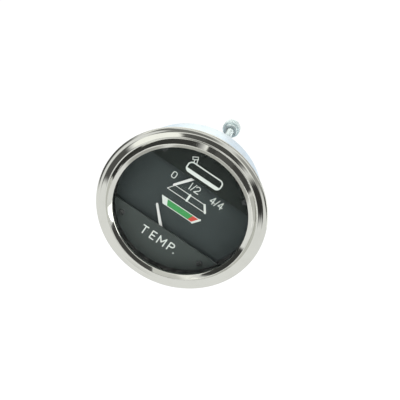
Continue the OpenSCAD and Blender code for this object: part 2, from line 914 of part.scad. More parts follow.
module lamp_bulbs() {
    base = floor_y - loose_gap;
    tip = base - bulb_len;
    color([0.9, 0.92, 0.9, 0.6]) for (s = [-1, 1]) translate([s * lamp_x, 0, 0]) lathe() polygon(concat(
        [[0, base], [bulb_r, base]],
        arc(0, tip + bulb_r, bulb_r, bulb_r, 0, -90, 8)
    ));
}

// Mounting studs with their lock washers and thumb nuts

stud_neck_r = 3.4;
collar_r = 4.2;
collar_t = 1.5;
head_t = 1.2;
thread_depth = 0.45;
stud_end = case_depth + stud_len;
thread_start = case_depth + shank_len;
turns = floor((stud_len - shank_len - 1) / thread_pitch);

// The thread is drawn as a row of grooves, one to each pitch
function thread_profile() = concat(
    [[0, floor_y - head_t], [collar_r, floor_y - head_t], [collar_r, floor_y], [stud_neck_r, floor_y]],
    [[stud_neck_r, case_depth], [collar_r, case_depth], [collar_r, case_depth + collar_t]],
    [[stud_r, case_depth + collar_t], [stud_r, thread_start]],
    [for (i = [0:turns - 1], k = [0, 1])
        [stud_r - thread_depth * (1 - k), thread_start + (i + (1 + k) / 2) * thread_pitch]],
    [[stud_r - thread_depth, thread_start + (turns + 0.5) * thread_pitch]],
    [[stud_r - 2 * thread_depth, stud_end], [0, stud_end]]
);

module mounting_studs() {
    color([0.78, 0.82, 0.8]) for (s = [-1, 1]) translate([0, 0, s * stud_z])
        lathe() polygon(thread_profile());
}

washer_t = 1.2;
washer_r = stud_r + 2.1;
washer_gap = 0.2;
nut_face = stud_end - stud_beyond - nut_len;

// Split spring washer in front of the thumb nut
module lock_washer(side) {
    split = 0.8;
    color([0.55, 0.57, 0.56]) translate([0, nut_face - loose_gap - washer_t, side * stud_z]) difference() {
        rod(0, 0, 0, washer_t, washer_r);
        rod(0, 0, -1, washer_t + 1, stud_r + washer_gap);
        translate([0, -1, -split / 2]) cube([washer_r + 1, washer_t + 2, split]);
    }
}

module upper_lock_washer() {
    lock_washer(1);
}

module lower_lock_washer() {
    lock_washer(-1);
}

knurls = 32;
knurl_r = 0.35;
boss_len = 2;
boss_step = 1.5;
nut_dish_d = 0.6;
nut_dish_w = 0.8;

// Knurled thumb nut with a plain boss on the washer's side
module thumb_nut(side) {
    boss_r = nut_r - boss_step;
    color([0.78, 0.82, 0.8]) translate([0, nut_face, side * stud_z]) difference() {
        union() {
            rod(0, 0, 0, nut_len, boss_r);
            rod(0, 0, boss_len, nut_len, nut_r);
        }
        rod(0, 0, -1, nut_len + 1, stud_r + running_gap);
        rod(0, 0, nut_len - nut_dish_d, nut_len + 1, stud_r + nut_dish_w);
        for (i = [0:knurls - 1]) rotate([0, i * 360 / knurls, 0]) rod(nut_r, 0, -1, nut_len + 1, knurl_r);
    }
}

module upper_thumb_nut() {
    thumb_nut(1);
}

module lower_thumb_nut() {
    thumb_nut(-1);
}

bezel();
glass();
glass_gasket();
case();
spacer_ring();
dial_plate();
dial_print();
green_zone();
red_zone();
upper_cover();
lower_cover();
tank_symbol();
temp_legend();
cover_spacers();
cover_screws();
dial_pillars();
case_screws();
fuel_pointer();
fuel_spindle();
fuel_rotor();
fuel_former_front();
fuel_former_rear();
fuel_inner_coil();
fuel_outer_coil();
fuel_shield();
temp_pointer();
temp_spindle();
temp_rotor();
temp_former_front();
temp_former_rear();
temp_inner_coil();
temp_outer_coil();
temp_shield();
return_magnets();
stop_pins();
movement_screws();
shield_screws();
terminal_strip_outer();
terminal_strip_inner();
terminal_blades();
terminal_rivets();
lamp_holders();
lamp_contacts();
lamp_bulbs();
mounting_studs();
upper_lock_washer();
lower_lock_washer();
upper_thumb_nut();
lower_thumb_nut();
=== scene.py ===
import json
import logging
import math
from collections.abc import Callable, Iterable, Sequence
from dataclasses import dataclass, field
from enum import Enum

import bmesh
import bpy
from mathutils import Euler, Matrix, Vector

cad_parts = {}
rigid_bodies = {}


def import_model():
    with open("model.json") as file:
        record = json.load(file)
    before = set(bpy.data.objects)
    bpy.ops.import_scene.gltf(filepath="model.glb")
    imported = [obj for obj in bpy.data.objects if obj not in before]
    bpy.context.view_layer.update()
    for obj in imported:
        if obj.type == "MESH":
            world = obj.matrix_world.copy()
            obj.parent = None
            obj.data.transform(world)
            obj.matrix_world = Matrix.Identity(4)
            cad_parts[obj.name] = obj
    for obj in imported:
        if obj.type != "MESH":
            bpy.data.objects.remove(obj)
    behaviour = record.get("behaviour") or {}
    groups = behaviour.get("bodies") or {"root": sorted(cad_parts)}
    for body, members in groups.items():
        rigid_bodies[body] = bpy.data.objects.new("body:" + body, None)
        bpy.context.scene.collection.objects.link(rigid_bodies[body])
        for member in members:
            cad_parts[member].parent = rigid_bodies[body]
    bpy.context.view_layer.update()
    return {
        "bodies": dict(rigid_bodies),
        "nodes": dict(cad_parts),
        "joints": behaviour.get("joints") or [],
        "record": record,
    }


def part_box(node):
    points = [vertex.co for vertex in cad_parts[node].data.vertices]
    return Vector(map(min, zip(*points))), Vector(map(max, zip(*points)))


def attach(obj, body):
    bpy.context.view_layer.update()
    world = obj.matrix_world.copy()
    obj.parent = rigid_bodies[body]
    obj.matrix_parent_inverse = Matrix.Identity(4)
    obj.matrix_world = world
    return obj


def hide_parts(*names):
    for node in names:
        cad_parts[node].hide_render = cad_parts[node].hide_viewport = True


LOG = logging.getLogger("double_gauge")
MM = 0.001
FULL_TURN = math.tau

# Angle in degrees above which an edge stays sharp
SHARP_ANGLE = 32.0

# Points of a mesh that lie closer than this, in millimetres, are one
MERGE_GAP = 1e-5

# Radius under which a point of a section lies on the axis
ON_AXIS = 1e-6

# Faces round a drilled hole
HOLE_FACES = 48

# How far a cutter passes the surface that it cuts
CUT_ROOM = 1.0

# Largest share of a side that a rounded corner takes
ROUND_SHARE = 0.45

Point = tuple[float, float]
Place = tuple[float, float, float]
Colour = tuple[float, float, float]
Swell = Callable[[float, float, float], float]


class Half(Enum):
    """The two halves of the gauge, by the side of the dial's centre that they lie on."""

    FUEL = 1
    TEMPERATURE = -1


class Shading(Enum):
    """How the faces of a mesh are shaded."""

    SMOOTH = "smooth"
    CREASED = "creased"
    FLAT = "flat"


# Outlines


def arc(centre: Point, radii: Point, start: float, stop: float, steps: int) -> list[Point]:
    """Points along part of an ellipse.

    Args:
        centre: Middle of the ellipse.
        radii: Its two half axes.
        start: First angle in degrees.
        stop: Last angle in degrees.
        steps: Number of steps between the two.

    Returns:
        The points, both ends included.
    """
    points = []
    for i in range(steps + 1):
        turn = math.radians(start + (stop - start) * i / steps)
        points.append((centre[0] + radii[0] * math.cos(turn), centre[1] + radii[1] * math.sin(turn)))
    return points


def bend(before: Point, corner: Point, after: Point, reach: float, steps: int) -> list[Point]:
    """Rounds one corner of a line.

    Args:
        before: The point before the corner.
        corner: The corner.
        after: The point after it.
        reach: How far from the corner the round begins and ends.
        steps: Steps along the round.

    Returns:
        The points of the round.
    """
    start = [c + (p - c) * reach / math.dist(before, corner) for p, c in zip(before, corner)]
    stop = [c + (p - c) * reach / math.dist(after, corner) for p, c in zip(after, corner)]
    line = []
    for t in (i / steps for i in range(steps + 1)):
        near, middle, far = (1 - t) ** 2, 2 * t * (1 - t), t**2
        line.append(tuple(a * near + c * middle + b * far for a, c, b in zip(start, corner, stop)))
    return line


def rounded(corners: Sequence[Point], radius: float, steps: int = 4) -> list[Point]:
    """Rounds every corner of a closed outline.

    Args:
        corners: The outline's corners in order.
        radius: Radius of the rounding, limited by the sides next to it.
        steps: Steps along each round.

    Returns:
        The rounded outline.
    """
    points: list[Point] = []
    for i, corner in enumerate(corners):
        before, after = corners[i - 1], corners[(i + 1) % len(corners)]
        shorter = min(math.dist(before, corner), math.dist(after, corner))
        points += bend(before, corner, after, min(radius, ROUND_SHARE * shorter), steps)
    return points


def soft_line(points: Sequence[Point], steps: int) -> list[Point]:
    """A line that runs softly through the given points.

    Args:
        points: The points that it passes.
        steps: Steps between one of them and the next.

    Returns:
        The points of the line.
    """
    ends = [points[0], *points, points[-1]]
    line = []
    for knots in zip(ends, ends[1:], ends[2:], ends[3:]):
        for t in (i / steps for i in range(steps)):
            line.append(tuple(soft_value(t, *values) for values in zip(*knots)))
    return line + [points[-1]]


def soft_value(t: float, a: float, b: float, c: float, d: float) -> float:
    """A value between b and c at share t, led by its neighbours a and d."""
    return 0.5 * (2 * b + (c - a) * t + (2 * a - 5 * b + 4 * c - d) * t**2 + (3 * b - a - 3 * c + d) * t**3)


# Meshes


def finish_mesh(
    bm: bmesh.types.BMesh, name: str, shading: Shading, sharp: float = SHARP_ANGLE
) -> bpy.types.Object:
    """Turns a bmesh in millimetres into an object in metres.

    Args:
        bm: The mesh, which is freed.
        name: Name of the object.
        shading: How its faces are shaded.
        sharp: Angle in degrees above which an edge stays sharp.

    Returns:
        The new object, linked to the scene.
    """
    bmesh.ops.remove_doubles(bm, verts=bm.verts, dist=MERGE_GAP)
    bmesh.ops.recalc_face_normals(bm, faces=bm.faces)
    bmesh.ops.scale(bm, vec=(MM, MM, MM), verts=bm.verts)
    mesh = bpy.data.meshes.new(name)
    bm.to_mesh(mesh)
    bm.free()
    mesh.polygons.foreach_set("use_smooth", [shading is not Shading.FLAT] * len(mesh.polygons))
    if shading is Shading.CREASED:
        mesh.set_sharp_from_angle(angle=math.radians(sharp))
    piece = bpy.data.objects.new(name, mesh)
    bpy.context.scene.collection.objects.link(piece)
    return piece


def turn_profile(
    bm: bmesh.types.BMesh,
    profile: Sequence[Point],
    segments: int,
    centre: Point = (0.0, 0.0),
    swell: Swell | None = None,
) -> None:
    """Turns a closed profile of radius and Y about an axis along Y.

    Args:
        bm: The mesh that takes the faces.
        profile: Points of radius and Y, in order round the section.
        segments: Faces round the axis.
        centre: X and Z of the axis.
        swell: Gives the radius from the angle, the plain radius and Y, where it changes round the axis.
    """
    rings: list[list[bmesh.types.BMVert]] = []
    for radius, y in profile:
        if radius < ON_AXIS:
            rings.append([bm.verts.new((centre[0], y, centre[1]))])
            continue
        ring = []
        for angle in (FULL_TURN * i / segments for i in range(segments)):
            r = swell(angle, radius, y) if swell else radius
            x, z = centre[0] + r * math.sin(angle), centre[1] + r * math.cos(angle)
            ring.append(bm.verts.new((x, y, z)))
        rings.append(ring)
    for here, following in zip(rings, rings[1:] + rings[:1]):
        if len(here) == 1 and len(following) == 1:
            continue
        for i in range(segments):
            k = (i + 1) % segments
            corners = [here[i % len(here)], here[k % len(here)]]
            corners += [following[k % len(following)], following[i % len(following)]]
            unique = list(dict.fromkeys(corners))
            if len(unique) > 2:
                bm.faces.new(unique)


def turned(
    name: str,
    profile: Sequence[Point],
    segments: int,
    centres: Iterable[Point] = ((0.0, 0.0),),
    swell: Swell | None = None,
) -> bpy.types.Object:
    """A piece made of one or more equal turned solids.

    Args:
        name: Name of the piece.
        profile: Closed section as radius and Y, in millimetres.
        segments: Faces round the axis.
        centres: X and Z of each copy's axis.
        swell: Changes the radius round the axis.

    Returns:
        The piece.
    """
    bm = bmesh.new()
    for centre in centres:
        turn_profile(bm, profile, segments, centre, swell)
    return finish_mesh(bm, name, Shading.CREASED)


def raise_outline(
    bm: bmesh.types.BMesh, outline: Sequence[Point], y_front: float, y_rear: float, bevel: float
) -> None:
    """Makes a plate from an outline of X and Z, with its front edge bevelled.

    Args:
        bm: The mesh that takes the plate.
        outline: The outline in order.
        y_front: Y of the front face.
        y_rear: Y of the rear face.
        bevel: Width of the bevel round the front face.
    """
    middle = Vector((0.0, 0.0))
    for p in outline:
        middle += Vector(p) / len(outline)
    front, edge, rear = [], [], []
    for i, p in enumerate(outline):
        before = Vector(outline[i - 1])
        after = Vector(outline[(i + 1) % len(outline)])
        along = (after - before).normalized()
        inward = Vector((-along.y, along.x))
        if inward.dot(middle - Vector(p)) < 0:
            inward = -inward
        q = Vector(p) + inward * bevel
        front.append(bm.verts.new((q.x, y_front, q.y)))
        edge.append(bm.verts.new((p[0], y_front + bevel, p[1])))
        rear.append(bm.verts.new((p[0], y_rear, p[1])))
    bm.faces.new(front)
    bm.faces.new(list(reversed(rear)))
    join_rings(bm, [front, edge, rear])


def join_rings(bm: bmesh.types.BMesh, rings: Sequence[Sequence[bmesh.types.BMVert]]) -> None:
    """Joins closed rings of equal length with faces.

    Args:
        bm: The mesh that takes the faces.
        rings: The rings in order.
    """
    for here, following in zip(rings, rings[1:]):
        for i in range(len(here)):
            k = (i + 1) % len(here)
            bm.faces.new([here[i], here[k], following[k], following[i]])


def carve(piece: bpy.types.Object, cutter: bpy.types.Object) -> None:
    """Takes a cutter's volume away from a piece, and removes the cutter.

    Args:
        piece: The piece, which keeps its name.
        cutter: What is cut out of it.
    """
    modifier = piece.modifiers.new("cut", "BOOLEAN")
    modifier.object = cutter
    modifier.operation = "DIFFERENCE"
    modifier.solver = "EXACT"
    evaluated = piece.evaluated_get(bpy.context.evaluated_depsgraph_get())
    piece.data = bpy.data.meshes.new_from_object(evaluated)
    piece.modifiers.clear()
    piece.data.set_sharp_from_angle(angle=math.radians(SHARP_ANGLE))
    bpy.data.objects.remove(cutter)


def drill(piece: bpy.types.Object, holes: Sequence[tuple[Point, float]], y_from: float, y_to: float) -> None:
    """Drills round holes along Y through a piece.

    Args:
        piece: The piece, in metres.
        holes: X and Z of each hole's centre, and its radius, in millimetres.
        y_from: Where the drill starts.
        y_to: Where it ends.
    """
    bm = bmesh.new()
    for centre, radius in holes:
        section = [(0, y_from), (radius, y_from), (radius, y_to), (0, y_to)]
        turn_profile(bm, section, HOLE_FACES, centre)
    carve(piece, finish_mesh(bm, piece.name + "_drill", Shading.SMOOTH))


# Shader nodes


class Graph:
    """A node tree with short ways to add nodes and join them."""

    def __init__(self, tree: bpy.types.NodeTree) -> None:
        """Takes the tree and empties it."""
        self.tree = tree
        tree.nodes.clear()

    def add(self, kind: str, **settings: object) -> bpy.types.Node:
        """Adds a node.

        Args:
            kind: Its type name in Blender.
            settings: Properties to set on it.

        Returns:
            The node.
        """
        node = self.tree.nodes.new(kind)
        for key, value in settings.items():
            setattr(node, key, value)
        return node

    def feed(self, socket: bpy.types.NodeSocket, value: object) -> None:
        """Joins a socket to another one, or sets its own value.

        Args:
            socket: The socket that takes the value.
            value: A socket, a number or a colour of three numbers.
        """
        if isinstance(value, bpy.types.NodeSocket):
            self.tree.links.new(value, socket)
        elif socket.type == "RGBA":
            socket.default_value = (*value, 1.0)
        else:
            socket.default_value = value

    def fill(self, node: bpy.types.Node, values: dict[str, object]) -> bpy.types.Node:
        """Feeds a node's inputs by name.

        Args:
            node: The node.
            values: What each named input takes.

        Returns:
            The node.
        """
        for name, value in values.items():
            self.feed(node.inputs[name], value)
        return node

    def line_up(self, node: bpy.types.Node, values: Iterable[object]) -> bpy.types.NodeSocket:
        """Feeds a node's inputs in order.

        Args:
            node: The node.
            values: What its first inputs take.

        Returns:
            The node's first output.
        """
        for socket, value in zip(node.inputs, values):
            self.feed(socket, value)
        return node.outputs[0]

    def math(self, operation: str, *values: object, clamp: bool = False) -> bpy.types.NodeSocket:
        """One Math node on numbers or sockets."""
        return self.line_up(self.add("ShaderNodeMath", operation=operation, use_clamp=clamp), values)

    def plus(self, first: object, second: object) -> bpy.types.NodeSocket:
        """The sum of two numbers or sockets."""
        return self.math("ADD", first, second)

    def times(self, first: object, second: object, clamp: bool = False) -> bpy.types.NodeSocket:
        """The product of two numbers or sockets."""
        return self.math("MULTIPLY", first, second, clamp=clamp)

    def larger(self, first: object, second: object) -> bpy.types.NodeSocket:
        """The larger of two numbers or sockets."""
        return self.math("MAXIMUM", first, second)

    def vector(self, operation: str, *values: object) -> bpy.types.NodeSocket:
        """One Vector Math node on vectors or sockets."""
        return self.line_up(self.add("ShaderNodeVectorMath", operation=operation), values)

    def join(self, x: object, y: object, z: object) -> bpy.types.NodeSocket:
        """A vector from its three parts."""
        return self.line_up(self.add("ShaderNodeCombineXYZ"), (x, y, z))

    def split(self, vector: bpy.types.NodeSocket) -> Sequence[bpy.types.NodeSocket]:
        """The three parts of a vector."""
        return self.fill(self.add("ShaderNodeSeparateXYZ"), {"Vector": vector}).outputs

    def blend(self, share: object, low: object, high: object) -> bpy.types.NodeSocket:
        """Mixes two colours.

        Args:
            share: Share of the second, from 0 to 1.
            low: The first colour.
            high: The second colour.

        Returns:
            The mixed colour.
        """
        node = self.add("ShaderNodeMix", data_type="RGBA")
        ends = [socket for socket in node.inputs if socket.type == "RGBA"]
        for socket, value in zip((node.inputs[0], *ends), (share, low, high)):
            self.feed(socket, value)
        return next(socket for socket in node.outputs if socket.type == "RGBA")

    def remap(self, value: object, old: Point, new: Point) -> bpy.types.NodeSocket:
        """Moves a value softly from one range to another, and keeps it inside."""
        node = self.add("ShaderNodeMapRange", interpolation_type="SMOOTHSTEP")
        return self.line_up(node, (value, *old, *new))

    def noise(self, where: object, scale: object, detail: float, rough: float) -> bpy.types.NodeSocket:
        """Value of a noise texture at a place."""
        inputs = {"Vector": where, "Scale": scale, "Detail": detail, "Roughness": rough}
        return self.fill(self.add("ShaderNodeTexNoise"), inputs).outputs[0]

    def here(self) -> bpy.types.NodeSocket:
        """Where the shaded point lies on its piece."""
        return self.add("ShaderNodeTexCoord").outputs["Object"]

    def looked_at(self) -> bpy.types.NodeSocket:
        """Tells what is seen from what only lights.

        Returns:
            1 for what is seen straight, mirrored or through glass, and else 0.
        """
        path = self.add("ShaderNodeLightPath").outputs
        straight = self.larger(path["Is Camera Ray"], path["Is Glossy Ray"])
        return self.larger(straight, path["Is Transmission Ray"])

    def mix_shaders(self, share: object, first: object, second: object) -> bpy.types.NodeSocket:
        """Two shaders in one, by the share of the second."""
        return self.line_up(self.add("ShaderNodeMixShader"), (share, first, second))


class MaterialGraph(Graph):
    """The node tree of a new material."""

    def __init__(self, name: str) -> None:
        """Starts the material.

        Args:
            name: Its name.
        """
        self.material = bpy.data.materials.new(name)
        self.material.use_nodes = True
        super().__init__(self.material.node_tree)

    def show(self, surface: bpy.types.NodeSocket) -> bpy.types.Material:
        """Ends the tree with its surface and gives the material."""
        self.fill(self.add("ShaderNodeOutputMaterial"), {"Surface": surface})
        return self.material


class SharedEffects:
    """The shader groups that more than one finish uses.

    Attributes:
        dust_cloud: Values of the noise between which the dust grows thick.
        dust_side: How far a face looks up, between its least and its most dust.
        dust_share: Share of the dust at those two.
        edge_bulge: Sharpness of an edge between which it wears bare.
        edge_breaks: Values of the noise between which the wear is broken off.
    """

    dust_cloud: Point = (0.42, 0.75)
    dust_side: Point = (-0.6, 1.0)
    dust_share: Point = (0.35, 1.0)
    edge_bulge: Point = (0.52, 0.62)
    edge_breaks: Point = (0.35, 0.6)

    def __init__(self) -> None:
        """Builds each group once."""
        self.grain = self.build_grain()
        self.turned_marks = self.build_turned_marks()
        self.drawn_marks = self.build_drawn_marks()
        self.film = self.build_film()
        self.edge_wear = self.build_edge_wear()

    @staticmethod
    def start(
        name: str, inputs: dict[str, float], outputs: Sequence[str]
    ) -> tuple[Graph, bpy.types.NodeOutputs, bpy.types.Node]:
        """Starts a group.

        Args:
            name: Name of the group.
            inputs: Its numbers with their usual values.
            outputs: The values that it gives.

        Returns:
            The graph, the sockets that bring the inputs in, and the node that takes the outputs.
        """
        tree = bpy.data.node_groups.new(name, "ShaderNodeTree")
        for label, value in inputs.items():
            socket = tree.interface.new_socket(label, in_out="INPUT", socket_type="NodeSocketFloat")
            socket.default_value = value
        for label in outputs:
            tree.interface.new_socket(label, in_out="OUTPUT", socket_type="NodeSocketFloat")
        graph = Graph(tree)
        return graph, graph.add("NodeGroupInput").outputs, graph.add("NodeGroupOutput")

    def build_grain(self) -> bpy.types.NodeTree:
        """Fine and coarse unevenness, the same in all directions.

        Returns:
            The group.
        """
        graph, given, out = self.start("fine_grain", {"Scale": 900.0, "Drift": 60.0}, ("Fine", "Coarse"))
        here = graph.here()
        fine = graph.noise(here, given["Scale"], detail=4.0, rough=0.6)
        coarse = graph.noise(here, given["Drift"], detail=2.0, rough=0.5)
        graph.fill(out, {"Fine": fine, "Coarse": coarse})
        return graph.tree

    def build_turned_marks(self) -> bpy.types.NodeTree:
        """Fine rings round the gauge's axis, as spinning and buffing leave them.

        Returns:
            The group.
        """
        graph, given, out = self.start("turned_marks", {"Rings": 2600.0, "Breaks": 5.0}, ("Value",))
        x, y, z = graph.split(graph.here())
        radius = graph.math("SQRT", graph.plus(graph.times(x, x), graph.times(z, z)))
        around = graph.math("COSINE", graph.math("ARCTAN2", x, z))
        across, along = graph.times(radius, given["Rings"]), graph.times(y, given["Rings"])
        where = graph.join(across, along, graph.times(around, given["Breaks"]))
        graph.fill(out, {"Value": graph.noise(where, 1.0, detail=3.0, rough=0.6)})
        return graph.tree

    def build_drawn_marks(self) -> bpy.types.NodeTree:
        """Faint streaks along Y, as drawing a can through a die leaves them.

        Returns:
            The group.
        """
        graph, given, out = self.start("drawn_marks", {"Streaks": 45.0, "Length": 60.0}, ("Value",))
        x, y, z = graph.split(graph.here())
        around = graph.add("ShaderNodeVectorMath", operation="SCALE")
        graph.feed(around.inputs[0], graph.vector("NORMALIZE", graph.join(x, 0.0, z)))
        graph.feed(around.inputs["Scale"], given["Streaks"])
        lengthwise = graph.join(0.0, graph.times(y, given["Length"]), 0.0)
        where = graph.vector("ADD", around.outputs[0], lengthwise)
        graph.fill(out, {"Value": graph.noise(where, 1.0, detail=3.0, rough=0.55)})
        return graph.tree

    def build_film(self) -> bpy.types.NodeTree:
        """A thin film of dust and handling, thicker on faces that look up.

        Returns:
            The group.
        """
        graph, given, out = self.start("dust_film", {"Amount": 0.3, "Scale": 140.0}, ("Mask",))
        patches = graph.noise(graph.here(), given["Scale"], detail=5.0, rough=0.65)
        cloud = graph.remap(patches, self.dust_cloud, (0.0, 1.0))
        upward = graph.split(graph.add("ShaderNodeNewGeometry").outputs["Normal"])[2]
        lie = graph.remap(upward, self.dust_side, self.dust_share)
        graph.fill(out, {"Mask": graph.times(graph.times(cloud, lie), given["Amount"], clamp=True)})
        return graph.tree

    def build_edge_wear(self) -> bpy.types.NodeTree:
        """Rubbed outer edges, broken up by noise.

        Returns:
            The group.
        """
        graph, given, out = self.start("edge_wear", {"Amount": 0.5, "Scale": 500.0}, ("Mask",))
        bulge = graph.add("ShaderNodeNewGeometry").outputs["Pointiness"]
        edge = graph.remap(bulge, self.edge_bulge, (0.0, 1.0))
        patches = graph.noise(graph.here(), given["Scale"], detail=3.0, rough=0.6)
        broken = graph.remap(patches, self.edge_breaks, (0.0, 1.0))
        graph.fill(out, {"Mask": graph.times(graph.times(edge, broken), given["Amount"], clamp=True)})
        return graph.tree


class Coat(MaterialGraph):
    """A material round one Principled shader, with the shared effects at hand."""

    def __init__(self, name: str, effects: SharedEffects) -> None:
        """Starts the material with its shader.

        Args:
            name: Its name.
            effects: The shared shader groups.
        """
        super().__init__(name)
        self.effects = effects
        self.shader = self.add("ShaderNodeBsdfPrincipled")

    def use(self, tree: bpy.types.NodeTree, **values: object) -> Sequence[bpy.types.NodeSocket]:
        """Outputs of a shared group, placed with its own values."""
        return self.fill(self.add("ShaderNodeGroup", node_tree=tree), values).outputs

    def grain(self, scale: float, drift: float) -> Sequence[bpy.types.NodeSocket]:
        """The fine and the coarse value of the shared grain."""
        return self.use(self.effects.grain, Scale=scale, Drift=drift)

    def film(self, amount: float, scale: float) -> bpy.types.NodeSocket:
        """Mask of the shared film of dust."""
        return self.use(self.effects.film, Amount=amount, Scale=scale)["Mask"]

    def worn(self, amount: float, scale: float) -> bpy.types.NodeSocket:
        """Mask of the shared edge wear."""
        return self.use(self.effects.edge_wear, Amount=amount, Scale=scale)["Mask"]

    def give(self, **values: object) -> None:
        """Feeds the shader's sockets, named with _ for each space."""
        self.fill(self.shader, {name.replace("_", " "): value for name, value in values.items()})

    def bump(self, height: object, depth: float) -> None:
        """Raises the surface.

        Args:
            height: The height, from 0 to 1.
            depth: What a height of 1 stands for, in metres.
        """
        node = self.add("ShaderNodeBump")
        self.fill(node, {"Strength": 1.0, "Distance": depth, "Height": height})
        self.give(Normal=node.outputs[0])


# Finishes


@dataclass(frozen=True)
class Finish:
    """What every finish has: the slot of the record that it stands for, and its base colour.

    In each finish, a value whose name ends in matt is what that effect adds to the roughness, and depth
    is the height of the bumps in metres.
    """

    slot: str
    base: Colour

    def build(self, effects: SharedEffects) -> bpy.types.Material:
        """Makes the material.

        Args:
            effects: The shared shader groups.

        Returns:
            The material, with a Principled shader at its output.
        """
        coat = Coat(self.slot, effects)
        coat.give(Base_Color=self.base)
        self.dress(coat)
        return coat.show(self.surface(coat))

    def dress(self, coat: Coat) -> None:
        """Adds the finish's own nodes to the shader."""
        raise NotImplementedError

    def surface(self, coat: Coat) -> bpy.types.NodeSocket:
        """The socket that goes to the material's output."""
        return coat.shader.outputs[0]


@dataclass(frozen=True)
class Chrome(Finish):
    """Bright chrome over pressed steel, buffed round the axis."""

    film_colour: Colour = (0.33, 0.31, 0.27)
    roughness: float = 0.035
    film: float = 0.16
    film_matt: float = 0.35
    rings: float = 2400.0
    ring_breaks: float = 3.0
    ring_matt: float = 0.05
    depth: float = 0.0000012

    def dress(self, coat: Coat) -> None:
        """Buffing rings, a thin film and slightly matt patches.

        Args:
            coat: The material in the making.
        """
        rings = coat.use(coat.effects.turned_marks, Rings=self.rings, Breaks=self.ring_breaks)["Value"]
        film = coat.film(self.film, scale=90.0)
        coarse = coat.grain(scale=700.0, drift=45.0)["Coarse"]
        matt = coat.plus(self.roughness, coat.times(film, self.film_matt))
        uneven = coat.times(coat.times(rings, coarse), self.ring_matt)
        coat.give(Metallic=1.0, Base_Color=coat.blend(film, self.base, self.film_colour))
        coat.give(Roughness=coat.plus(matt, uneven))
        coat.bump(coat.plus(rings, coarse), self.depth)


@dataclass(frozen=True)
class ZincPlate(Finish):
    """Bright zinc plating on drawn or turned steel, with a bluish passivation."""

    tint: Colour = (0.62, 0.66, 0.66)
    rubbed: Colour = (0.86, 0.87, 0.88)
    dust: Colour = (0.5, 0.5, 0.48)
    roughness: float = 0.3
    streaks: float = 45.0
    streak_length: float = 14.0
    streak_matt: float = 0.12
    streak_height: float = 0.7
    wear: float = 0.35
    film: float = 0.25
    film_matt: float = 0.3
    depth: float = 0.000012

    def dress(self, coat: Coat) -> None:
        """Draw streaks, spangle, a drifting tint and rubbed edges.

        Args:
            coat: The material in the making.
        """
        marks = coat.use(coat.effects.drawn_marks, Streaks=self.streaks, Length=self.streak_length)["Value"]
        grain = coat.grain(scale=1500.0, drift=55.0)
        film = coat.film(self.film, scale=160.0)
        drift = coat.remap(grain["Coarse"], old=(0.35, 0.7), new=(0.0, 0.55))
        colour = coat.blend(drift, self.base, self.tint)
        bright = coat.blend(coat.worn(self.wear, scale=600.0), colour, self.rubbed)
        uneven = coat.plus(coat.times(marks, self.streak_matt), coat.times(film, self.film_matt))
        coat.give(Metallic=1.0, Base_Color=coat.blend(film, bright, self.dust))
        coat.give(Roughness=coat.plus(self.roughness - self.streak_matt / 2, uneven))
        coat.bump(coat.plus(coat.times(marks, self.streak_height), grain["Fine"]), self.depth)


@dataclass(frozen=True)
class BrightMetal(Finish):
    """Plain metal with a fine grain: steel, brass, tin or spring steel."""

    dull: Colour = (0.3, 0.29, 0.27)
    roughness: float = 0.32
    tarnish: float = 0.4
    tarnish_matt: float = 0.4
    wear: float = 0.3
    rubbed_gain: float = 1.25
    depth: float = 0.000008

    def dress(self, coat: Coat) -> None:
        """Grain, tarnish in patches and rubbed edges.

        Args:
            coat: The material in the making.
        """
        grain = coat.grain(scale=1800.0, drift=180.0)
        patch = coat.remap(grain["Coarse"], old=(0.4, 0.72), new=(0.0, self.tarnish))
        colour = coat.blend(patch, self.base, self.dull)
        rubbed = tuple(min(1.0, c * self.rubbed_gain) for c in self.base)
        coat.give(Metallic=1.0, Base_Color=coat.blend(coat.worn(self.wear, scale=900.0), colour, rubbed))
        coat.give(Roughness=coat.plus(self.roughness, coat.times(patch, self.tarnish_matt)))
        coat.bump(grain["Fine"], self.depth)


@dataclass(frozen=True)
class Paint(Finish):
    """A painted or moulded surface with a fine texture."""

    light: Colour = (0.08, 0.085, 0.085)
    dust: Colour = (0.32, 0.32, 0.3)
    roughness: float = 0.5
    texture: float = 2600.0
    depth: float = 0.00002
    film: float = 0.2
    film_matt: float = 0.3
    wear: float = 0.0
    specular: float = 0.5

    def dress(self, coat: Coat) -> None:
        """Fine texture, slow drift of tone, dust and worn edges.

        Args:
            coat: The material in the making.
        """
        grain = coat.grain(scale=self.texture, drift=35.0)
        film = coat.film(self.film, scale=260.0)
        drift = coat.remap(grain["Coarse"], old=(0.3, 0.75), new=(0.0, 0.5))
        speck = coat.remap(grain["Fine"], old=(0.55, 0.8), new=(0.0, 0.25))
        colour = coat.blend(speck, coat.blend(drift, self.base, self.light), self.light)
        colour = coat.blend(coat.larger(film, coat.worn(self.wear, scale=800.0)), colour, self.dust)
        coat.give(Base_Color=colour, Specular_IOR_Level=self.specular)
        coat.give(Roughness=coat.plus(self.roughness, coat.times(film, self.film_matt)))
        coat.bump(grain["Fine"], self.depth)


@dataclass(frozen=True)
class DialPaint(Paint):
    """The smooth, dull paint of the dial and its covers."""

    roughness: float = 0.62
    depth: float = 0.0000012
    film: float = 0.015
    specular: float = 0.16


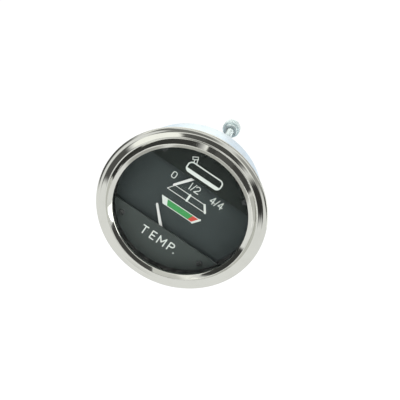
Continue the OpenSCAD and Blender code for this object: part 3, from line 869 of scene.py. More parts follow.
@dataclass(frozen=True)
class Ink(Finish):
    """Screen-printed ink, slightly uneven in cover."""

    thin: Colour = (0.5, 0.55, 0.5)
    roughness: float = 0.45
    thin_matt: float = 0.3
    depth: float = 0.00001

    def dress(self, coat: Coat) -> None:
        """Thin spots and the mesh of the screen.

        Args:
            coat: The material in the making.
        """
        grain = coat.grain(scale=3200.0, drift=300.0)
        spots = coat.remap(grain["Fine"], old=(0.6, 0.85), new=(0.0, 0.35))
        drift = coat.remap(grain["Coarse"], old=(0.4, 0.8), new=(0.0, 0.3))
        cover = coat.larger(spots, drift)
        coat.give(Base_Color=coat.blend(cover, self.base, self.thin))
        coat.give(Roughness=coat.plus(self.roughness, coat.times(cover, self.thin_matt)))
        coat.bump(grain["Fine"], self.depth)


@dataclass(frozen=True)
class Glass(Finish):
    """Clear glass that lets the lamps through to what lies behind it."""

    index: float = 1.05
    reflection: float = 0.1
    smear: float = 0.01

    def dress(self, coat: Coat) -> None:
        """Clear body with faint smears in its gloss."""
        coat.give(Transmission_Weight=1.0, IOR=self.index, Specular_IOR_Level=self.reflection)
        coat.give(Roughness=coat.times(coat.film(amount=1.0, scale=70.0), self.smear))

    def surface(self, coat: Coat) -> bpy.types.NodeSocket:
        """The glass for what is seen, and a clear way for shadow rays.

        Args:
            coat: The material in the making.

        Returns:
            The mix of both.
        """
        shadow = coat.add("ShaderNodeLightPath").outputs["Is Shadow Ray"]
        clear = coat.add("ShaderNodeBsdfTransparent").outputs[0]
        return coat.mix_shaders(shadow, coat.shader.outputs[0], clear)


@dataclass(frozen=True)
class Winding(Finish):
    """Enamelled copper wire, wound side by side."""

    roughness: float = 0.3
    groove_matt: float = 0.2
    wire: float = 0.0003
    depth: float = 0.00005
    groove_shade: float = 0.45
    metal: float = 0.8

    def dress(self, coat: Coat) -> None:
        """Ridges of wire with painted shade in the grooves between them, and the drift of the enamel's
        colour.

        Args:
            coat: The material in the making.
        """
        drift = coat.times(coat.grain(scale=900.0, drift=120.0)["Coarse"], self.wire)
        along = coat.plus(coat.split(coat.here())[0], drift)
        wave = coat.math("SINE", coat.times(along, FULL_TURN / self.wire))
        groove = coat.remap(wave, old=(-1.0, 0.2), new=(0.75, 0.0))
        # Painted shade: the enamel's colour darkens in the grooves between the wires.
        dark = tuple(c * self.groove_shade for c in self.base)
        coat.give(Metallic=self.metal, Base_Color=coat.blend(groove, self.base, dark))
        coat.give(Roughness=coat.plus(self.roughness, coat.times(groove, self.groove_matt)))
        coat.bump(wave, self.depth)


FINISHES: tuple[Finish, ...] = (
    Chrome("chrome", (0.6, 0.605, 0.56)),
    Glass("glass", (0.97, 1.0, 0.99)),
    Glass("bulb_glass", (0.95, 0.97, 0.95), reflection=0.5),
    Paint("rubber", (0.012, 0.012, 0.012), light=(0.03, 0.03, 0.03), roughness=0.75, texture=1400.0),
    ZincPlate("zinc_plate", (0.66, 0.78, 0.87)),
    ZincPlate("zinc_stud", (0.7, 0.79, 0.79), tint=(0.62, 0.7, 0.69), roughness=0.42, wear=0.6),
    Paint("black_paint", (0.006, 0.006, 0.006), light=(0.015, 0.015, 0.015), roughness=0.42),
    # Painted reflection: the dial's own dark paint is raised to stand in for the floor's reflection in the
    # glass, which the glass's low index leaves out.
    DialPaint("dial_black", (0.0365, 0.0445, 0.0445), light=(0.0385, 0.0465, 0.0465)),
    # Painted shade and painted light: both covers are one paint; the upper cover's base is darkened as
    # painted shade, the lower cover's lightened as painted reflection of the floor in the glass.
    DialPaint("cover_dark", (0.011, 0.0145, 0.0125), light=(0.012, 0.0155, 0.0135)),
    DialPaint("cover_grey", (0.047, 0.0545, 0.0515), light=(0.05, 0.0575, 0.0545)),
    Ink("white_ink", (0.624, 0.643, 0.608), thin=(0.48, 0.505, 0.468)),
    Ink("green_ink", (0.027, 0.25, 0.056), thin=(0.03, 0.2, 0.055)),
    Ink("red_ink", (0.5, 0.042, 0.022), thin=(0.38, 0.045, 0.03)),
    BrightMetal("steel", (0.6, 0.61, 0.61)),
    Paint("black_steel", (0.01, 0.011, 0.011), light=(0.03, 0.03, 0.03), roughness=0.35, wear=0.3),
    BrightMetal("brass", (0.72, 0.52, 0.22), dull=(0.38, 0.25, 0.1), roughness=0.28),
    Paint("pointer_white", (0.64, 0.627, 0.616), light=(0.576, 0.566, 0.546), film=0.02),
    BrightMetal("magnet", (0.09, 0.09, 0.095), dull=(0.05, 0.05, 0.05), roughness=0.55),
    Paint("nylon", (0.66, 0.63, 0.52), light=(0.58, 0.55, 0.45), roughness=0.45, texture=900.0),
    Winding("copper_wire", (0.62, 0.24, 0.08)),
    Paint("laminate", (0.13, 0.05, 0.02), light=(0.22, 0.1, 0.045), texture=1600.0, wear=0.25),
    Paint("black_plastic", (0.014, 0.014, 0.015), light=(0.03, 0.03, 0.03), roughness=0.38, wear=0.15),
    BrightMetal("spring_steel", (0.5, 0.55, 0.55), dull=(0.32, 0.35, 0.35), roughness=0.42),
)


# Sub-assemblies


@dataclass
class Workshop:
    """Puts pieces on their bodies and gives them their finishes."""

    frame: dict
    materials: dict[str, bpy.types.Material] = field(init=False)
    slots: dict[str, str] = field(init=False)
    replaced: set[str] = field(init=False, default_factory=set)

    def __post_init__(self) -> None:
        """Builds the shared effects and every material."""
        effects = SharedEffects()
        self.materials = {finish.slot: finish.build(effects) for finish in FINISHES}
        self.slots = {row["node"]: row["material_slot"] for row in self.frame["record"]["subparts"]}

    def paint(self, piece: bpy.types.Object, node: str) -> str:
        """Gives a piece the finish of a node.

        Args:
            piece: The piece.
            node: The node whose slot it takes.

        Returns:
            Name of the slot.
        """
        slot = self.slots[node]
        piece.data.materials.clear()
        piece.data.materials.append(self.materials[slot])
        return slot

    def fit(self, piece: bpy.types.Object, body: str, node: str) -> None:
        """Seats a new piece in the place of a CAD node.

        Args:
            piece: The piece.
            body: The body that it rides on.
            node: The node that it stands for, and whose finish it takes.
        """
        slot = self.paint(piece, node)
        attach(piece, body)
        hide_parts(node)
        self.replaced.add(node)
        LOG.info("%s rides on %s and stands for %s", piece.name, body, node)

    def dress_nodes(self) -> None:
        """Gives every CAD node that still shows its material."""
        for name, node in self.frame["nodes"].items():
            if name not in self.replaced:
                LOG.info("%s keeps its shape and takes %s", name, self.paint(node, name))


@dataclass(frozen=True)
class Box:
    """A CAD node's box at rest, in millimetres."""

    low: Vector
    high: Vector

    @classmethod
    def of(cls, node: str) -> "Box":
        """The box of a node by name."""
        low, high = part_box(node)
        return cls(low / MM, high / MM)


@dataclass
class Bezel:
    """The chromed ring: a flange that rises to a raised ring, whose inner slope leads to the window.

    Heights are over the panel.

    Attributes:
        sheet: Thickness of the sheet.
        edge_back: Radius of the outer edge's round towards the panel.
        edge_front: Radius of its round towards the front.
        edge_turn: Degrees that the front round turns through.
        edge_wall: Height of the outer edge's wall behind the sheet.
        flange_line: How far in from the outer edge each point of the flange lies, and its height.
        flange_w: Width of the flange, up to the foot of the raised ring.
        foot_h: Height of that foot.
        side_w: Width of the raised ring's outer side.
        lip_w: Width of its slope down to the window.
        lip_rise: How far that slope falls.
        lip_t: Depth of the rolled edge that lies on the glass.
        roll_w: Width of the rolled edge.
        roll_gap: How far under the slope the back of the rolled edge ends.
        foot_round: Reach of the round at the foot.
        crest_round: Reach of the round at the crest.
        lip_round: Reach of the round at the window's edge.
        foot_inset: How far inward of the foot the sheet's back bends.
        crest_inset: How far inward of the crest it bends.
        crest_depth: How far under the crest it bends.
        crimp_r: Radius of the rear edge, which is crimped round the can's flange.
        inset: How far the ring stays within the CAD's box.
        segments: Faces round the axis.
    """

    sheet: float = 0.8
    edge_back: float = 0.8
    edge_front: float = 0.5
    edge_turn: float = 84.0
    edge_wall: float = 1.6
    flange_line: tuple[Point, ...] = (
        (0.45, 1.98), (1.3, 2.12), (2.1, 2.2), (2.8, 2.27), (3.4, 2.38),
        (4.3, 2.64), (5.3, 2.93), (6.2, 3.19), (6.6, 3.24), (7.0, 3.27),
    )
    foot_h: float = 3.29
    flange_w: float = 7.2
    side_w: float = 2.38
    lip_w: float = 3.1
    lip_rise: float = 1.9
    lip_t: float = 2.15
    roll_w: float = 1.3
    roll_gap: float = 0.95
    foot_round: float = 0.15
    crest_round: float = 0.5
    lip_round: float = 0.6
    foot_inset: float = 0.48
    crest_inset: float = 0.04
    crest_depth: float = 1.44
    crimp_r: float = 51.5
    inset: float = 0.02
    segments: int = 360

    def profile(self) -> list[Point]:
        """The section of the ring.

        Returns:
            Its points, as radius and Y.
        """
        outer = Box.of("bezel").high.x - self.inset
        clamp = -Box.of("glass").low.y
        foot = (outer - self.flange_w, self.foot_h)
        crest = (foot[0] - self.side_w, clamp + self.lip_t + self.lip_rise - self.inset)
        lip = (crest[0] - self.lip_w, crest[1] - self.lip_rise)
        flange = soft_line([(outer - r, h) for r, h in self.flange_line], 4)
        back_r, front_r = self.edge_back, self.edge_front
        front = [(self.crimp_r, 0.0)]
        front += arc((outer - back_r, back_r), (back_r, back_r), -90, 0, 12)
        front += arc((outer - front_r, flange[0][1] - front_r), (front_r, front_r), 0, self.edge_turn, 10)
        front += flange
        front += bend(flange[-1], foot, crest, self.foot_round, 8)
        front += bend(foot, crest, lip, self.crest_round, 10)
        front += bend(crest, lip, (lip[0], clamp), self.lip_round, 8)
        roll_r = lip[0] + self.roll_w
        under_lip = lip[1] + self.lip_rise * self.roll_w / self.lip_w - self.roll_gap
        back = [(lip[0], clamp), (roll_r, clamp), (roll_r, under_lip)]
        back += [(crest[0] - self.crest_inset, crest[1] - self.crest_depth)]
        back += [(foot[0] - self.foot_inset, foot[1] - self.sheet)]
        back += [(r, h - self.sheet) for r, h in reversed(flange)]
        back += [(outer - self.sheet, self.edge_wall), (outer - self.sheet, self.sheet)]
        back += [(self.crimp_r, self.sheet)]
        return [(r, -h) for r, h in front + back]

    def build(self, shop: Workshop) -> None:
        """Makes the ring."""
        shop.fit(turned("bezel_ring", self.profile(), self.segments), "housing", "bezel")


@dataclass
class GlassPack:
    """The glass with its gasket, and the black ring between glass and dial.

    Attributes:
        edge: Width of the glass's ground edge.
        foot: Width and height of the spacer's foot on the dial.
        ring_wall: Thickness of the spacer's wall.
        ring_round: Round of the spacer's edges.
        gasket_gap: Room between the gasket and the spacer.
        gasket_round: Round of the gasket's edges.
        segments: Faces round the glass and the gasket.
        ring_segments: Faces round the spacer.
    """

    edge: float = 0.25
    foot: float = 0.8
    ring_wall: float = 1.0
    ring_round: float = 0.12
    gasket_gap: float = 0.3
    gasket_round: float = 0.15
    segments: int = 180
    ring_segments: int = 240

    def build_glass(self, shop: Workshop) -> None:
        """Makes the glass with its ground edge.

        Args:
            shop: Where it is fitted.
        """
        box = Box.of("glass")
        r, front, rear = box.high.x, box.low.y, box.high.y
        section = [(0, front), (r - self.edge, front), (r, front + self.edge)]
        section += [(r, rear - self.edge), (r - self.edge, rear), (0, rear)]
        shop.fit(turned("dial_glass", section, self.segments), "housing", "glass")

    def build_gasket(self, shop: Workshop) -> None:
        """Makes the rubber ring under the glass.

        Args:
            shop: Where it is fitted.
        """
        box = Box.of("glass_gasket")
        inner, outer = Box.of("spacer_ring").high.x + self.gasket_gap, box.high.x
        corners = [(inner, box.low.y), (outer, box.low.y), (outer, box.high.y), (inner, box.high.y)]
        section = rounded(corners, self.gasket_round)
        shop.fit(turned("rubber_gasket", section, self.segments), "housing", "glass_gasket")

    def build_spacer(self, shop: Workshop) -> None:
        """Makes the black ring, with the foot that rests on the dial.

        Args:
            shop: Where it is fitted.
        """
        box = Box.of("spacer_ring")
        outer, front, rear = box.high.x, box.low.y, box.high.y
        wall = outer - self.ring_wall
        toe, top = wall - self.foot, rear - self.foot
        corners = [(outer, front), (outer, rear), (toe, rear), (toe, top), (wall, top), (wall, front)]
        section = rounded(corners, self.ring_round)
        shop.fit(turned("black_spacer", section, self.ring_segments), "housing", "spacer_ring")

    def build(self, shop: Workshop) -> None:
        """Makes the three rings of the pack."""
        for make in (self.build_glass, self.build_gasket, self.build_spacer):
            make(shop)


@dataclass
class RearPlaces:
    """Where things sit on the can's bottom, read from the CAD nodes.

    Attributes:
        terminals: How many terminals there are.
        pillar_r: Radius of the pillars that carry the dial.
        stud_z: Z of the upper and the lower stud.
        lamp_x: X of the two lamp holders.
        rivet_x: X of each terminal's rivet.
        screws: X and Z of the screws.
    """

    terminals: int = 4
    pillar_r: float = 3.0
    stud_z: Point = field(init=False)
    lamp_x: Point = field(init=False)
    rivet_x: tuple[float, ...] = field(init=False)
    screws: tuple[Point, ...] = field(init=False)

    def __post_init__(self) -> None:
        """Reads the boxes of the nodes."""
        studs, lamps = Box.of("mounting_studs"), Box.of("lamp_holders")
        rivets, screws = Box.of("terminal_rivets"), Box.of("case_screws")
        self.stud_z = (studs.high.z - studs.high.x, studs.low.z + studs.high.x)
        self.lamp_x = (lamps.high.x - lamps.high.z, lamps.low.x + lamps.high.z)
        head_r = (screws.high.x - Box.of("dial_pillars").high.x) + self.pillar_r
        self.screws = four_places(screws.high.x - head_r, screws.high.z - head_r)
        span = rivets.high.x - rivets.high.z
        self.rivet_x = tuple(span * (2 * i / (self.terminals - 1) - 1) for i in range(self.terminals))


def four_places(x: float, z: float) -> tuple[Point, ...]:
    """A place in each quarter round the axis."""
    return tuple((side * x, height * z) for side in (-1, 1) for height in (-1, 1))


@dataclass
class Can:
    """The drawn can with its flange and the holes in its bottom.

    Attributes:
        sheet: Thickness of the sheet.
        corner_r: Outer radius of the round between wall and bottom.
        flange_r: Radius of the round between wall and flange.
        wall_r: Outer radius of the wall.
        neck_r: Radius of the studs' holes.
        lamp_hole_r: Radius of the lamp holders' holes.
        screw_hole_r: Radius of the screws' holes.
        rivet_hole_r: Radius of the rivets' holes.
        segments: Faces round the axis.
    """

    sheet: float = 0.8
    corner_r: float = 3.0
    flange_r: float = 0.5
    wall_r: float = 50.0
    neck_r: float = 3.45
    lamp_hole_r: float = 6.9
    screw_hole_r: float = 1.6
    rivet_hole_r: float = 2.4
    segments: int = 288

    def profile(self) -> list[Point]:
        """The section of the can.

        Returns:
            Its points, as radius and Y.
        """
        box = Box.of("case")
        rear, rim = box.high.y, box.high.x
        bore, floor = self.wall_r - self.sheet, rear - self.sheet
        outer_r, inner_r, turn_r = self.corner_r, self.corner_r - self.sheet, self.flange_r
        points = [(0.0, rear)]
        points += arc((self.wall_r - outer_r, rear - outer_r), (outer_r, outer_r), 90, 0, 14)
        points += arc((self.wall_r + turn_r, turn_r - self.sheet), (turn_r, turn_r), 180, 270, 5)
        points += [(rim, -self.sheet), (rim, box.low.y), (bore, box.low.y)]
        points += arc((bore - inner_r, floor - inner_r), (inner_r, inner_r), 0, 90, 10)
        return points + [(0.0, floor)]

    def holes(self, rear: RearPlaces) -> list[tuple[Point, float]]:
        """Lists the holes in the bottom.

        Args:
            rear: Where things sit on the bottom.

        Returns:
            Centre and radius of every hole.
        """
        found = [((0.0, z), self.neck_r) for z in rear.stud_z]
        found += [((x, 0.0), self.lamp_hole_r) for x in rear.lamp_x]
        found += [(place, self.screw_hole_r) for place in rear.screws]
        return found + [((x, 0.0), self.rivet_hole_r) for x in rear.rivet_x]

    def build(self, shop: Workshop, rear: RearPlaces) -> None:
        """Makes the can and drills it.

        Args:
            shop: Where it is fitted.
            rear: Where things sit on its bottom.
        """
        piece = turned("drawn_can", self.profile(), self.segments)
        bottom = Box.of("case").high.y
        drill(piece, self.holes(rear), bottom - 2 * self.sheet, bottom + CUT_ROOM)
        shop.fit(piece, "housing", "case")


@dataclass
class DialPack:
    """The raised covers over the dial, with their screws.

    Attributes:
        head_r: Radius of a screw's head.
        head_round: Radius of the head's round.
        head_crown: How far the head's middle lies under the top of its box.
        shank_r: Radius of a screw's shank.
        tip_r: Radius of its tip.
        tip_length: Length of the cone that leads to the tip.
        slot_w: Width of the driver slot.
        slot_depth: Depth of the driver slot.
        slot_turns: Angle of each screw's slot in degrees.
        screw_hole_r: Radius of the covers' holes.
        bevel: Bevel round a cover's front.
        cover_sharp: Angle in degrees above which a cover's edge stays sharp.
        segments: Steps along a cover's arc.
    """

    head_r: float = 2.15
    head_round: float = 0.35
    head_crown: float = 0.12
    shank_r: float = 1.45
    tip_r: float = 1.15
    tip_length: float = 0.3
    slot_w: float = 0.6
    slot_depth: float = 0.5
    slot_turns: tuple[float, ...] = (20, 75, -40, 5)
    screw_hole_r: float = 1.6
    bevel: float = 0.14
    cover_sharp: float = 20.0
    segments: int = 120

    def cover_outline(self, half: Half, edge_z: float, radius: float) -> list[Point]:
        """The outline of a cover: an arc closed by a straight edge.

        Args:
            half: The half that the cover lies on.
            edge_z: How far its straight edge lies from the dial's centre.
            radius: Radius of its arc.

        Returns:
            The outline, as X and Z.
        """
        start = math.degrees(math.asin(edge_z / radius))
        points = arc((0, 0), (radius, radius), start, 180 - start, self.segments)
        return [(x, z * half.value) for x, z in points]

    def build_cover(self, shop: Workshop, half: Half, node: str, places: Sequence[Point]) -> None:
        """Makes one cover plate with its two screw holes.

        Args:
            shop: Where it is fitted.
            half: The half that it lies on.
            node: The node that it stands for.
            places: X and Z of the screws of both covers.
        """
        box = Box.of(node)
        near, far = sorted((abs(box.low.z), abs(box.high.z)))
        bm = bmesh.new()
        raise_outline(bm, self.cover_outline(half, near, far), box.low.y, box.high.y, self.bevel)
        piece = finish_mesh(bm, node + "_plate", Shading.CREASED, self.cover_sharp)
        holes = [(place, self.screw_hole_r) for place in places if place[1] * half.value > 0]
        drill(piece, holes, box.low.y - CUT_ROOM, box.high.y + CUT_ROOM)
        shop.fit(piece, "housing", node)

    def build_screws(self, shop: Workshop, places: Sequence[Point]) -> None:
        """Makes the slotted cheese-head screws that hold the covers.

        Args:
            shop: Where they are fitted.
            places: X and Z of each screw.
        """
        box = Box.of("cover_screws")
        top, end, seat = box.low.y, box.high.y, Box.of("upper_cover").low.y
        head_r = box.high.x - max(x for x, _ in places)
        curve = self.head_round
        section = [(0, top + self.head_crown)]
        section += arc((head_r - curve, top + curve), (curve, curve), -90, 0, 5)
        section += [(head_r, seat), (self.shank_r, seat), (self.shank_r, end - self.tip_length)]
        section += [(self.tip_r, end), (0, end)]
        piece = turned("dial_screws", section, 40, places)
        carve(piece, self.slot_cutter(places, head_r, top))
        shop.fit(piece, "housing", "cover_screws")

    def slot_cutter(self, places: Sequence[Point], head_r: float, top: float) -> bpy.types.Object:
        """Makes the bars that cut a driver slot across each screw head.

        Args:
            places: X and Z of each screw.
            head_r: Radius of the heads.
            top: Y of the heads' tops.

        Returns:
            The bars, as one cutter.
        """
        bm = bmesh.new()
        for (x, z), turn in zip(places, self.slot_turns):
            bar = bmesh.ops.create_cube(bm, size=1.0)["verts"]
            about_y = Matrix.Rotation(math.radians(turn), 3, "Y")
            size = (2 * head_r + CUT_ROOM, 2 * self.slot_depth, self.slot_w)
            bmesh.ops.scale(bm, vec=size, verts=bar)
            bmesh.ops.rotate(bm, cent=(0, 0, 0), matrix=about_y, verts=bar)
            bmesh.ops.translate(bm, vec=(x, top, z), verts=bar)
        return finish_mesh(bm, "slot_cutter", Shading.FLAT)

    def build(self, shop: Workshop) -> None:
        """Makes the covers and their screws.

        Args:
            shop: Where they are fitted.
        """
        box = Box.of("cover_screws")
        places = four_places(box.high.x - self.head_r, box.high.z - self.head_r)
        self.build_cover(shop, Half.FUEL, "upper_cover", places)
        self.build_cover(shop, Half.TEMPERATURE, "lower_cover", places)
        self.build_screws(shop, places)


@dataclass(frozen=True)
class Needle:
    """One pointer: its name, the half that it serves, its reach, and its lean at rest in degrees."""

    name: str
    half: Half
    length: float
    rest: float


@dataclass
class Pointers:
    """The two white pointers, each with a hub, a tail and a balance weight.

    Attributes:
        needles: What differs between the two.
        root_w: Width of the strip at the hub.
        root_back: How far behind the pivot the strip keeps that width.
        tip_w: Width of the strip near its tip.
        tip_taper: Length of the tip's point.
        blade_bevel: Bevel round the strip's front.
        hub_r: Radius of the hub's flange.
        hub_bevel: Bevel of that flange.
        hub_len: Length of the hub.
        hub_waist: Radius of the hub behind its flange.
        tail: From the pivot to the balance weight.
        weight_r: Radius of the balance weight.
        weight_bevel: Bevel of the balance weight.
        weight_t: Thickness of the balance weight.
        strip: Thickness of the strip.
        spindle_r: Radius of the hub's bore.
        segments: Faces round the hub and the weight.
    """

    needles: tuple[Needle, ...] = (
        Needle("fuel", Half.FUEL, 23.0, 36.3),
        Needle("temp", Half.TEMPERATURE, 24.2, 40.5),
    )
    root_w: float = 2.3
    root_back: float = 1.0
    tip_w: float = 1.6
    tip_taper: float = 0.6
    blade_bevel: float = 0.1
    hub_r: float = 2.6
    hub_bevel: float = 0.15
    hub_len: float = 2.0
    hub_waist: float = 2.08
    tail: float = 8.0
    weight_r: float = 2.6
    weight_bevel: float = 0.2
    weight_t: float = 1.2
    strip: float = 0.4
    spindle_r: float = 0.77
    segments: int = 48

    def blade(self, length: float) -> list[Point]:
        """The outline of a pointer's strip, along minus Z from the pivot.

        Args:
            length: How far its tip reaches.

        Returns:
            The outline, as X and Z.
        """
        root, tip, back = self.root_w / 2, self.tip_w / 2, self.root_back
        side = [(-root, -back), (-tip, self.tip_taper - length), (-tip / 2, -length)]
        mirror = [(-x, z) for x, z in reversed(side)]
        return side + mirror + [(tip, self.tail - back), (-tip, self.tail - back)]

    def hub(self, front: float) -> list[Point]:
        """The section of the hub, which is pressed on the spindle.

        Args:
            front: Y of its front face.

        Returns:
            Its points, as radius and Y.
        """
        edge, strip, rear = self.hub_bevel, front + self.strip, front + self.hub_len
        section = [(self.spindle_r, front), (self.hub_r - edge, front), (self.hub_r, front + edge)]
        section += [(self.hub_r, strip), (self.hub_waist, strip), (self.hub_waist, rear)]
        return section + [(self.spindle_r, rear)]

    def weight(self, front: float) -> list[Point]:
        """The section of the balance weight on the tail.

        Args:
            front: Y of its front face.

        Returns:
            Its points, as radius and Y.
        """
        edge, rear = self.weight_bevel, front + self.weight_t
        section = [(0, front), (self.weight_r - edge, front), (self.weight_r, front + edge)]
        return section + [(self.weight_r, rear), (0, rear)]

    def build_one(self, shop: Workshop, needle: Needle) -> None:
        """Makes one pointer at its resting angle.

        Args:
            shop: Where it is fitted.
            needle: The pointer's own values.
        """
        node = needle.name + "_pointer"
        front, spindle = Box.of(node).low.y, Box.of(needle.name + "_spindle")
        bm = bmesh.new()
        raise_outline(bm, self.blade(needle.length), front, front + self.strip, self.blade_bevel)
        turn_profile(bm, self.hub(front), self.segments)
        turn_profile(bm, self.weight(front), self.segments, (0.0, self.tail))
        hang = 0.0 if needle.half is Half.FUEL else 180.0
        turn = math.radians(hang + needle.rest * needle.half.value)
        bmesh.ops.rotate(bm, cent=(0, 0, 0), matrix=Matrix.Rotation(turn, 3, "Y"), verts=bm.verts)
        pivot_z = (spindle.low.z + spindle.high.z) / 2
        bmesh.ops.translate(bm, vec=(0, 0, pivot_z), verts=bm.verts)
        blade = finish_mesh(bm, needle.name + "_needle_blade", Shading.CREASED)
        shop.fit(blade, needle.name + "_needle", node)

    def build(self, shop: Workshop) -> None:
        """Makes both pointers."""
        for needle in self.needles:
            self.build_one(shop, needle)


@dataclass
class ThreadedStud:
    """A mounting stud: its head inside the can, its collar outside, and the thread towards its end.

    Attributes:
        stud_r: Radius of the rod.
        head_t: Thickness of the head.
        head_edge: Chamfer of the head.
        neck_r: Radius in the can's hole.
        collar_r: Radius of the head and the collar.
        collar_t: Thickness of the collar.
        collar_edge: Chamfer of the collar.
        fillet: Fillet between collar and rod.
        shank: From the can to the start of the thread.
        pitch: Pitch of the thread.
        depth: Depth of the thread.
        flank: How steeply the thread's flanks fall.
        crest_flat: Share of a flank that stays at the crest.
        end_chamfer: Length of the chamfer at the stud's end.
        chamfer_slope: How fast that chamfer narrows the rod.
        pitch_steps: Steps along one pitch.
        segments: Faces round the stud.
        sharp: Angle in degrees above which an edge stays sharp.
    """

    stud_r: float = 2.5
    head_t: float = 1.2
    head_edge: float = 0.2
    neck_r: float = 3.4
    collar_r: float = 4.2
    collar_t: float = 1.5
    collar_edge: float = 0.3
    fillet: float = 0.25
    shank: float = 17.0
    pitch: float = 0.8
    depth: float = 0.45
    flank: float = 1.25
    crest_flat: float = 0.12
    end_chamfer: float = 1.0
    chamfer_slope: float = 0.8
    pitch_steps: int = 8
    segments: int = 48
    sharp: float = 50.0

    def thread_radius(self, angle: float, y: float, start: float, end: float) -> float:
        """Radius of the thread's surface.

        Args:
            angle: Angle round the stud.
            y: Place along it.
            start: Where the thread begins.
            end: Where the stud ends.

        Returns:
            The radius there.
        """
        if y < start:
            return self.stud_r
        phase = ((y - start) / self.pitch - angle / FULL_TURN) % 1.0
        wave = abs(2 * phase - 1)
        cut = self.depth * min(1.0, max(0.0, self.flank * wave - self.crest_flat))
        fade = min(1.0, (y - start) / self.pitch)
        chamfer = self.stud_r - max(0.0, y - (end - self.end_chamfer)) * self.chamfer_slope
        return min(self.stud_r - cut * fade, chamfer)

    def section(self, floor: float, rear: float, end: float) -> list[Point]:
        """The section of a stud.

        Args:
            floor: Y of the can's inner bottom.
            rear: Y of the can's outer bottom.
            end: Y of the stud's end.

        Returns:
            Its points, as radius and Y.
        """
        inside, collar, start = floor - self.head_t, rear + self.collar_t, rear + self.shank
        steps = int((end - start) / self.pitch * self.pitch_steps)
        points = [(0, inside), (self.collar_r - self.head_edge, inside)]
        points += [(self.collar_r, inside + self.head_edge), (self.collar_r, floor), (self.neck_r, floor)]
        points += [(self.neck_r, rear), (self.collar_r, rear), (self.collar_r, collar - self.collar_edge)]
        points += [(self.collar_r - self.collar_edge, collar), (self.stud_r + self.fillet, collar)]
        points += [(self.stud_r, collar + self.fillet)]
        points += [(self.stud_r, start + (end - start) * i / steps) for i in range(steps + 1)]
        return points + [(0, end)]

    def build(self, shop: Workshop, rear: RearPlaces) -> None:
        """Makes both studs, which share a node.

        Args:
            shop: Where they are fitted.
            rear: Where they stand.
        """
        bottom, box = Box.of("case").high.y, Box.of("mounting_studs")
        start, end = bottom + self.shank, box.high.y

        def swell(angle: float, radius: float, y: float) -> float:
            """Cuts the thread where the rod has its plain radius."""
            on_rod = abs(radius - self.stud_r) < ON_AXIS
            return self.thread_radius(angle, y, start, end) if on_rod else radius

        section = self.section(box.low.y + self.head_t, bottom, end)
        bm = bmesh.new()
        for z in rear.stud_z:
            turn_profile(bm, section, self.segments, (0.0, z), swell)
        piece = finish_mesh(bm, "threaded_studs", Shading.CREASED, self.sharp)
        shop.fit(piece, "housing", "mounting_studs")


@dataclass
class ThumbNut:
    """A thumb nut: a plain boss, then the knurled rim, dished at its end.

    Attributes:
        bore_r: Radius of the bore.
        edge: Chamfer of the bore and the boss.
        boss_inset: How much smaller the boss's radius is than the rim's.
        boss_t: Length of the boss.
        neck: Width and length of the fillet between boss and rim.
        shoulder: How far in from the rim, and how far from its face, each point of its round lies.
        rim_steps: Steps along the rim.
        dish_w: Width of the dish round the bore.
        dish_edge: Chamfer of the dish.
        dish_draft: How much narrower the dish gets.
        dish_wall: Where its wall ends.
        dish_t: Depth of the dish.
        knurls: Number of knurls.
        knurl_depth: Depth of the knurls.
        knurl_edge: How far in from the rim the knurls fade out.
        knurl_segments: Faces to each knurl.
    """

    bore_r: float = 2.55
    edge: float = 0.3
    boss_inset: float = 1.5
    boss_t: float = 2.0
    neck: Point = (0.2, 0.25)
    shoulder: tuple[Point, ...] = ((0.55, 0.0), (0.1, 0.45), (0.0, 0.9))
    rim_steps: int = 4
    dish_w: float = 0.75
    dish_edge: float = 0.2
    dish_draft: float = 0.1
    dish_wall: float = 0.6
    dish_t: float = 0.75
    knurls: int = 32
    knurl_depth: float = 0.35
    knurl_edge: float = 0.6
    knurl_segments: int = 10

    def section(self, face: float, end: float, outer: float) -> list[Point]:
        """The section of the nut.

        Args:
            face: Y of the boss's face.
            end: Y of the rim's end.
            outer: Radius of the rim.

        Returns:
            Its points, as radius and Y.
        """
        boss, step, dish = outer - self.boss_inset, face + self.boss_t, self.bore_r + self.dish_w
        rim_start, rim_end = step + self.shoulder[-1][1], end - self.shoulder[-1][1]
        rim = [rim_start + (rim_end - rim_start) * i / self.rim_steps for i in range(1, self.rim_steps)]
        points = [(self.bore_r + self.edge, face), (boss - self.edge, face), (boss, face + self.edge)]
        points += [(boss, step - self.neck[1]), (boss + self.neck[0], step)]
        points += [(outer - inset, step + depth) for inset, depth in self.shoulder]
        points += [(outer, y) for y in rim]
        points += [(outer - inset, end - depth) for inset, depth in reversed(self.shoulder)]
        points += [(dish + self.dish_edge, end), (dish, end - self.dish_edge)]
        points += [(dish - self.dish_draft, end - self.dish_wall), (self.bore_r, end - self.dish_t)]
        return points + [(self.bore_r, face + self.edge)]

    def build(self, shop: Workshop, side: str, z: float) -> None:
        """Makes one knurled thumb nut.

        Args:
            shop: Where it is fitted.
            side: The stud that it sits on.
            z: Z of the stud.
        """
        node = side + "_thumb_nut"
        box = Box.of(node)
        outer = box.high.x

        def swell(angle: float, radius: float, y: float) -> float:
            """Cuts the knurl into the rim."""
            share = max(0.0, 1.0 - (outer - radius) / self.knurl_edge)
            return radius - self.knurl_depth * share * (0.5 + 0.5 * math.cos(angle * self.knurls)) ** 3

        section = self.section(box.low.y, box.high.y, outer)
        segments = self.knurls * self.knurl_segments
        piece = turned(node + "_knurled", section, segments, [(0.0, z)], swell)
        shop.fit(piece, side + "_nut", node)


